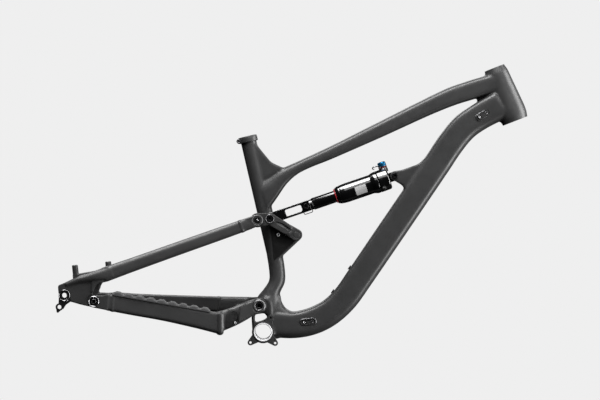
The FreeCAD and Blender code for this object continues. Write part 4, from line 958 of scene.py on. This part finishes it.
def make_can_label(eye):
    """A blank pale film on the drive side of the air can."""
    start, end = 67.0, 92.0
    tilt, spread = -0.24, 0.46
    proud, sunk = 0.12, -0.3
    steps_along, steps_round = 8, 12
    rings = []
    for k in range(steps_along + 1):
        distance = start + (end - start) * k / steps_along
        points = []
        for grown in (proud, sunk):
            for j in range(steps_round + 1):
                share = j / steps_round if grown > 0 else 1 - j / steps_round
                angle = tilt + spread * (2 * share - 1)
                out = shock_up_axis * math.sin(angle) - Y_AXIS * math.cos(angle)
                points.append(eye + shock_axis * distance + out * (CAN_RADIUS + grown))
        rings.append(points)
    finish_piece(rings_solid(rings), "can_label", "shock_body", "bare_alloy", sharp=FIRM, look="label_film")


def make_shock_body():
    eye = vec(SHOCK_FRONT_EYE)
    mouth = 134.5
    can = eased([(38, 24.3), (40, 24.6), (45, 24.5), (54, CAN_RADIUS), (114, CAN_RADIUS), (122, 20.9),
                 (125, 20.2), (127, 20.2), (129, 19.6), (mouth - 0.8, 17.4), (mouth, 16.6), (mouth, 15.2),
                 (114, 15.2), (108, 18.4), (94, 18.6), (38, 19)], 1.0)
    obj = turned(eye, shock_axis, can, closed=True, segments=96)
    finish_piece(obj, "air_sleeve", "shock_body", "gloss_black", ("air_can",), FIRM)
    make_can_label(eye)
    head = turned(eye, shock_axis, eased([
        (12.5, TIP), (12.5, 20.5), (15, 24.4), (36.5, 24.9), (38, 24), (45.9, 18.9), (45.9, TIP)], 1.0))
    obj = skin([head, node_copy("damper_head")], voxel=0.7, smoothing=3)
    half = 15.0
    bore = disc(SHOCK_FRONT_EYE, 7.02, -half, half)
    hollow = turned(eye, shock_axis, [(40, TIP), (40, 15.5), (50, 15.5), (50, TIP)])
    cut(obj, [bore, hollow])
    finish_piece(obj, "shock_head", "shock_body", "gloss_black", ("damper_head",))
    valve_axis = (-Y_AXIS - shock_up_axis * 0.9).normalized()
    centre = vec(shock_place(31))
    ridged = knurl(18, 0.03)
    cap = turned(centre, valve_axis, [
        (24.2, 3.1), (24.2, 4.4), (25, 4.6, ridged), (29.8, 4.6, ridged), (30.6, 4.2), (31, 3.2), (31, TIP),
        (28, TIP), (28, 3.1)])
    finish_piece(cap, "valve_cap", "shock_body", "black_plastic", ("air_valve_cap",), FIRM)
    band, seat, thick, count = 136.0, 14.7, 1.2, 16
    angles = [2 * math.pi * k / count for k in range(count)]
    ring = [(band + thick * math.cos(a), seat + thick * math.sin(a)) for a in angles]
    obj = turned(eye, shock_axis, ring, closed=True, segments=96)
    finish_piece(obj, "travel_band", "shock_body", "red_rubber", ("travel_ring",), SOFTEST)


def make_controls():
    base = vec(shock_place(18.5))
    ridged = knurl(24, 0.022)
    knob = [(24.7, 4.06), (24.7, 9), (25.2, 9.5), (25.4, 9.6, ridged), (27.0, 9.6, ridged), (27.3, 9.5),
            (27.7, 9), (27.7, 4.06)]
    obj = turned(base, shock_up_axis, knob, closed=True, segments=144)
    finish_piece(obj, "rebound_dial", "rebound_knob", "red_anodised", ("rebound_knob",), FIRM)
    ridged = knurl(20, 0.015)
    lever = [(28, 4.06), (28, 8.6), (28.5, 9.1), (29.2, 9.2, ridged), (34.6, 9.1, ridged), (35.4, 9),
             (37.2, 8.6), (38.2, 7.8), (38.5, 6.8), (38.5, 4.06)]
    cap = turned(base, shock_up_axis, lever, closed=True, segments=120)
    spine = [(7.0, 32.4, 2.8, 2.0), (11.0, 32.7, 2.5, 1.7), (15.5, 33.2, 2.2, 1.5), (19.5, 33.2, 2.0, 1.5),
             (21.6, 32.0, 1.9, 1.6), (22.0, 29.8, 1.8, 1.5), (20.6, 28.2, 1.4, 1.2), (18.2, 28.4, 1.0, 0.9)]
    rings = []
    for i, (back, up, wide, tall) in enumerate(spine):
        ahead = unit(spine[max(i - 1, 0)], spine[min(i + 1, len(spine) - 1)])
        tangent = shock_axis * ahead[0] + shock_up_axis * ahead[1]
        middle = base + shock_axis * back + shock_up_axis * up
        rings.append(oval(middle, Y_AXIS * wide, tangent.cross(Y_AXIS) * tall, 20))
    arm = rings_solid(rings)
    subdivide = arm.modifiers.new("smooth", "SUBSURF")
    subdivide.levels = 2
    apply_modifiers(arm)
    finish_piece(cap, "mode_lever", "compression_lever", "blue_anodised", ("compression_lever",), FIRM)
    finish_piece(arm, "mode_lever_arm", "compression_lever", "polished_alloy", sharp=SOFTEST)
    post = turned(base, shock_up_axis, [
        (37.6, TIP), (37.6, 4), (38.7, 3.6), (38.9, 2.9), (38.9, 1.9), (38.6, 1.6, hexagon),
        (37.4, 1.6, hexagon), (37.2, TIP)])
    finish_piece(post, "control_screw", "shock_body", "bolt_steel", sharp=CRISP)


def make_shock_shaft():
    eye = vec(SHOCK_FRONT_EYE)
    shaft = [(96.5, 10), (96.5, 13.5), (188.2, 13.5), (188.8, 13.2), (189.4, 12.4), (190, 12),
             (196, 12), (196, 8), (211.9, 8), (211.9, TIP), (186, TIP), (186, 10)]
    obj = turned(eye, shock_axis, shaft, closed=True, segments=96)
    finish_piece(obj, "shock_stanchion", "shock_shaft", "gloss_black", ("damper_shaft",), CRISP)
    place = shock_place(205.5)
    heads = [socket_bolt(place, -27, -30, 6.4, 2.8, 4.0, 27), socket_bolt(place, 27, 30, 6.4, 2.8)]
    finish_piece(join(heads), "shaft_cross_bolt", "shock_shaft", "bolt_steel", ("yoke_bolt",), CRISP)
    obj = skin([node_copy("shock_yoke")], voxel=0.8, smoothing=4)
    finish_piece(obj, "shock_fork", "shock_shaft", "gloss_black", ("shock_yoke",))


# ---- CAD nodes that stay ----
# Finish, width of the bevel, nodes.
KEPT_NODES = [
    ("frame_finish", 0.5, ("chain_guide_mount",)),
    ("bolt_steel", 0.3, ("bottle_bosses",)),
    ("bolt_steel", 0.4, ("rocker_pivot_axle",)),
    ("bearing_steel", 0.3, ("main_pivot_bearings", "dropout_pivot_bearings", "rocker_pivot_bearings",
                            "stay_pivot_bearings", "front_eye_bushing", "air_piston")),
    ("black_anodised", 0.6, ("derailleur_hanger",)),
    ("black_anodised", 0.3, ("hose_guide",)),
    ("black_rubber", 0.2, ("can_wiper_seal",)),
]


def paint_kept_nodes():
    """Materials and fine bevels for the CAD nodes that are shown as they are."""
    for slot, width, names in KEPT_NODES:
        for name in names:
            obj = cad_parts[name]
            paint(obj, slot)
            weld = obj.modifiers.new("weld", "WELD")
            weld.merge_threshold = SAME_POINT
            bevel = obj.modifiers.new("bevel", "BEVEL")
            bevel.width = width * MM
            bevel.segments = 2
            bevel.limit_method = "ANGLE"
            bevel.angle_limit = math.radians(FIRM)
            bevel.harden_normals = True


# ---- Light, floor and camera ----
PALE = 0.863
# In metres: what the lights aim at, and where the camera and the floor are.
TARGET = Vector((0.054, 0.0, 0.294))
CAMERA = Vector((0.05405, -5.0, 0.29366))
CAMERA_ROLL = 5.2
FLOOR = (0, 0, -0.45)
FLOOR_RADIUS = 1.4
CAMERA_LENS = 137.0
# Name, place, width and height, power in watts.
LIGHTS = [("top_softbox", (-0.9, -0.8, 3.0), (3, 1.5), 160),
          ("front_softbox", (0.4, -3.2, 2.7), (3, 1.5), 29),
          ("back_softbox", (0.2, 3.6, 2.0), (3.4, 2), 40),
          ("nose_softbox", (2.8, -0.2, 1.3), (1.6, 2.2), 105),
          ("low_softbox", (2.2, -0.7, -0.35), (1.3, 1), 41),
          ("upper_strip", (0.0, -1.5, 2.3), (3.2, 0.3), 28)]


def area_light(name, place, size, power):
    """A soft rectangular light aimed at the middle of the frame."""
    data = bpy.data.lights.new(name, "AREA")
    data.shape = "RECTANGLE"
    data.size, data.size_y = size
    data.energy = power
    obj = object_from(data)
    obj.name = name
    obj.location = place
    obj.rotation_mode = "QUATERNION"
    obj.rotation_quaternion = (TARGET - Vector(place)).to_track_quat("-Z", "Y")
    obj.visible_camera = False


def make_studio():
    scene = bpy.context.scene
    scene.view_settings.view_transform = "Standard"
    world = bpy.data.worlds.new("studio")
    world.use_nodes = True
    background = world.node_tree.nodes["Background"]
    set_inputs(background, {"Color": (PALE, PALE, PALE, 1)})
    world.cycles_visibility.diffuse = False
    world.cycles_visibility.glossy = False
    scene.world = world
    bpy.ops.mesh.primitive_circle_add(vertices=96, radius=FLOOR_RADIUS, fill_type="NGON", location=FLOOR)
    floor = bpy.context.object
    floor.name = "floor"
    pale = bpy.data.materials.new("pale_floor")
    pale.use_nodes = True
    shader = pale.node_tree.nodes["Principled BSDF"]
    set_inputs(shader, {"Base Color": (PALE, PALE, PALE, 1), "Roughness": 0.9})
    floor.data.materials.append(pale)
    floor.is_shadow_catcher = True
    floor.visible_diffuse = False
    floor.visible_glossy = False
    floor.visible_shadow = False
    for light in LIGHTS:
        area_light(*light)


def make_camera():
    roll = math.radians(CAMERA_ROLL)
    right = Vector((math.cos(roll), 0, math.sin(roll)))
    up = Vector((-math.sin(roll), 0, math.cos(roll)))
    back = right.cross(up)
    data = bpy.data.cameras.new("camera")
    data.sensor_width = 36
    data.lens = CAMERA_LENS
    obj = object_from(data)
    obj.name = "camera"
    rotation = Matrix((right, up, back)).transposed()
    obj.matrix_world = Matrix.Translation(CAMERA) @ rotation.to_4x4()
    bpy.context.scene.camera = obj


make_front_skin()
make_bb_shell()
make_seat_collar()
make_front_fasteners()
make_bracket_shade_plate()
make_cable_ports()
make_chainstay_skin()
make_stay_guard()
make_chainstay_hardware()
make_seatstay_skin()
make_seatstay_hardware()
make_rocker()
make_shock_body()
make_controls()
make_shock_shaft()
paint_kept_nodes()
make_studio()
make_camera()
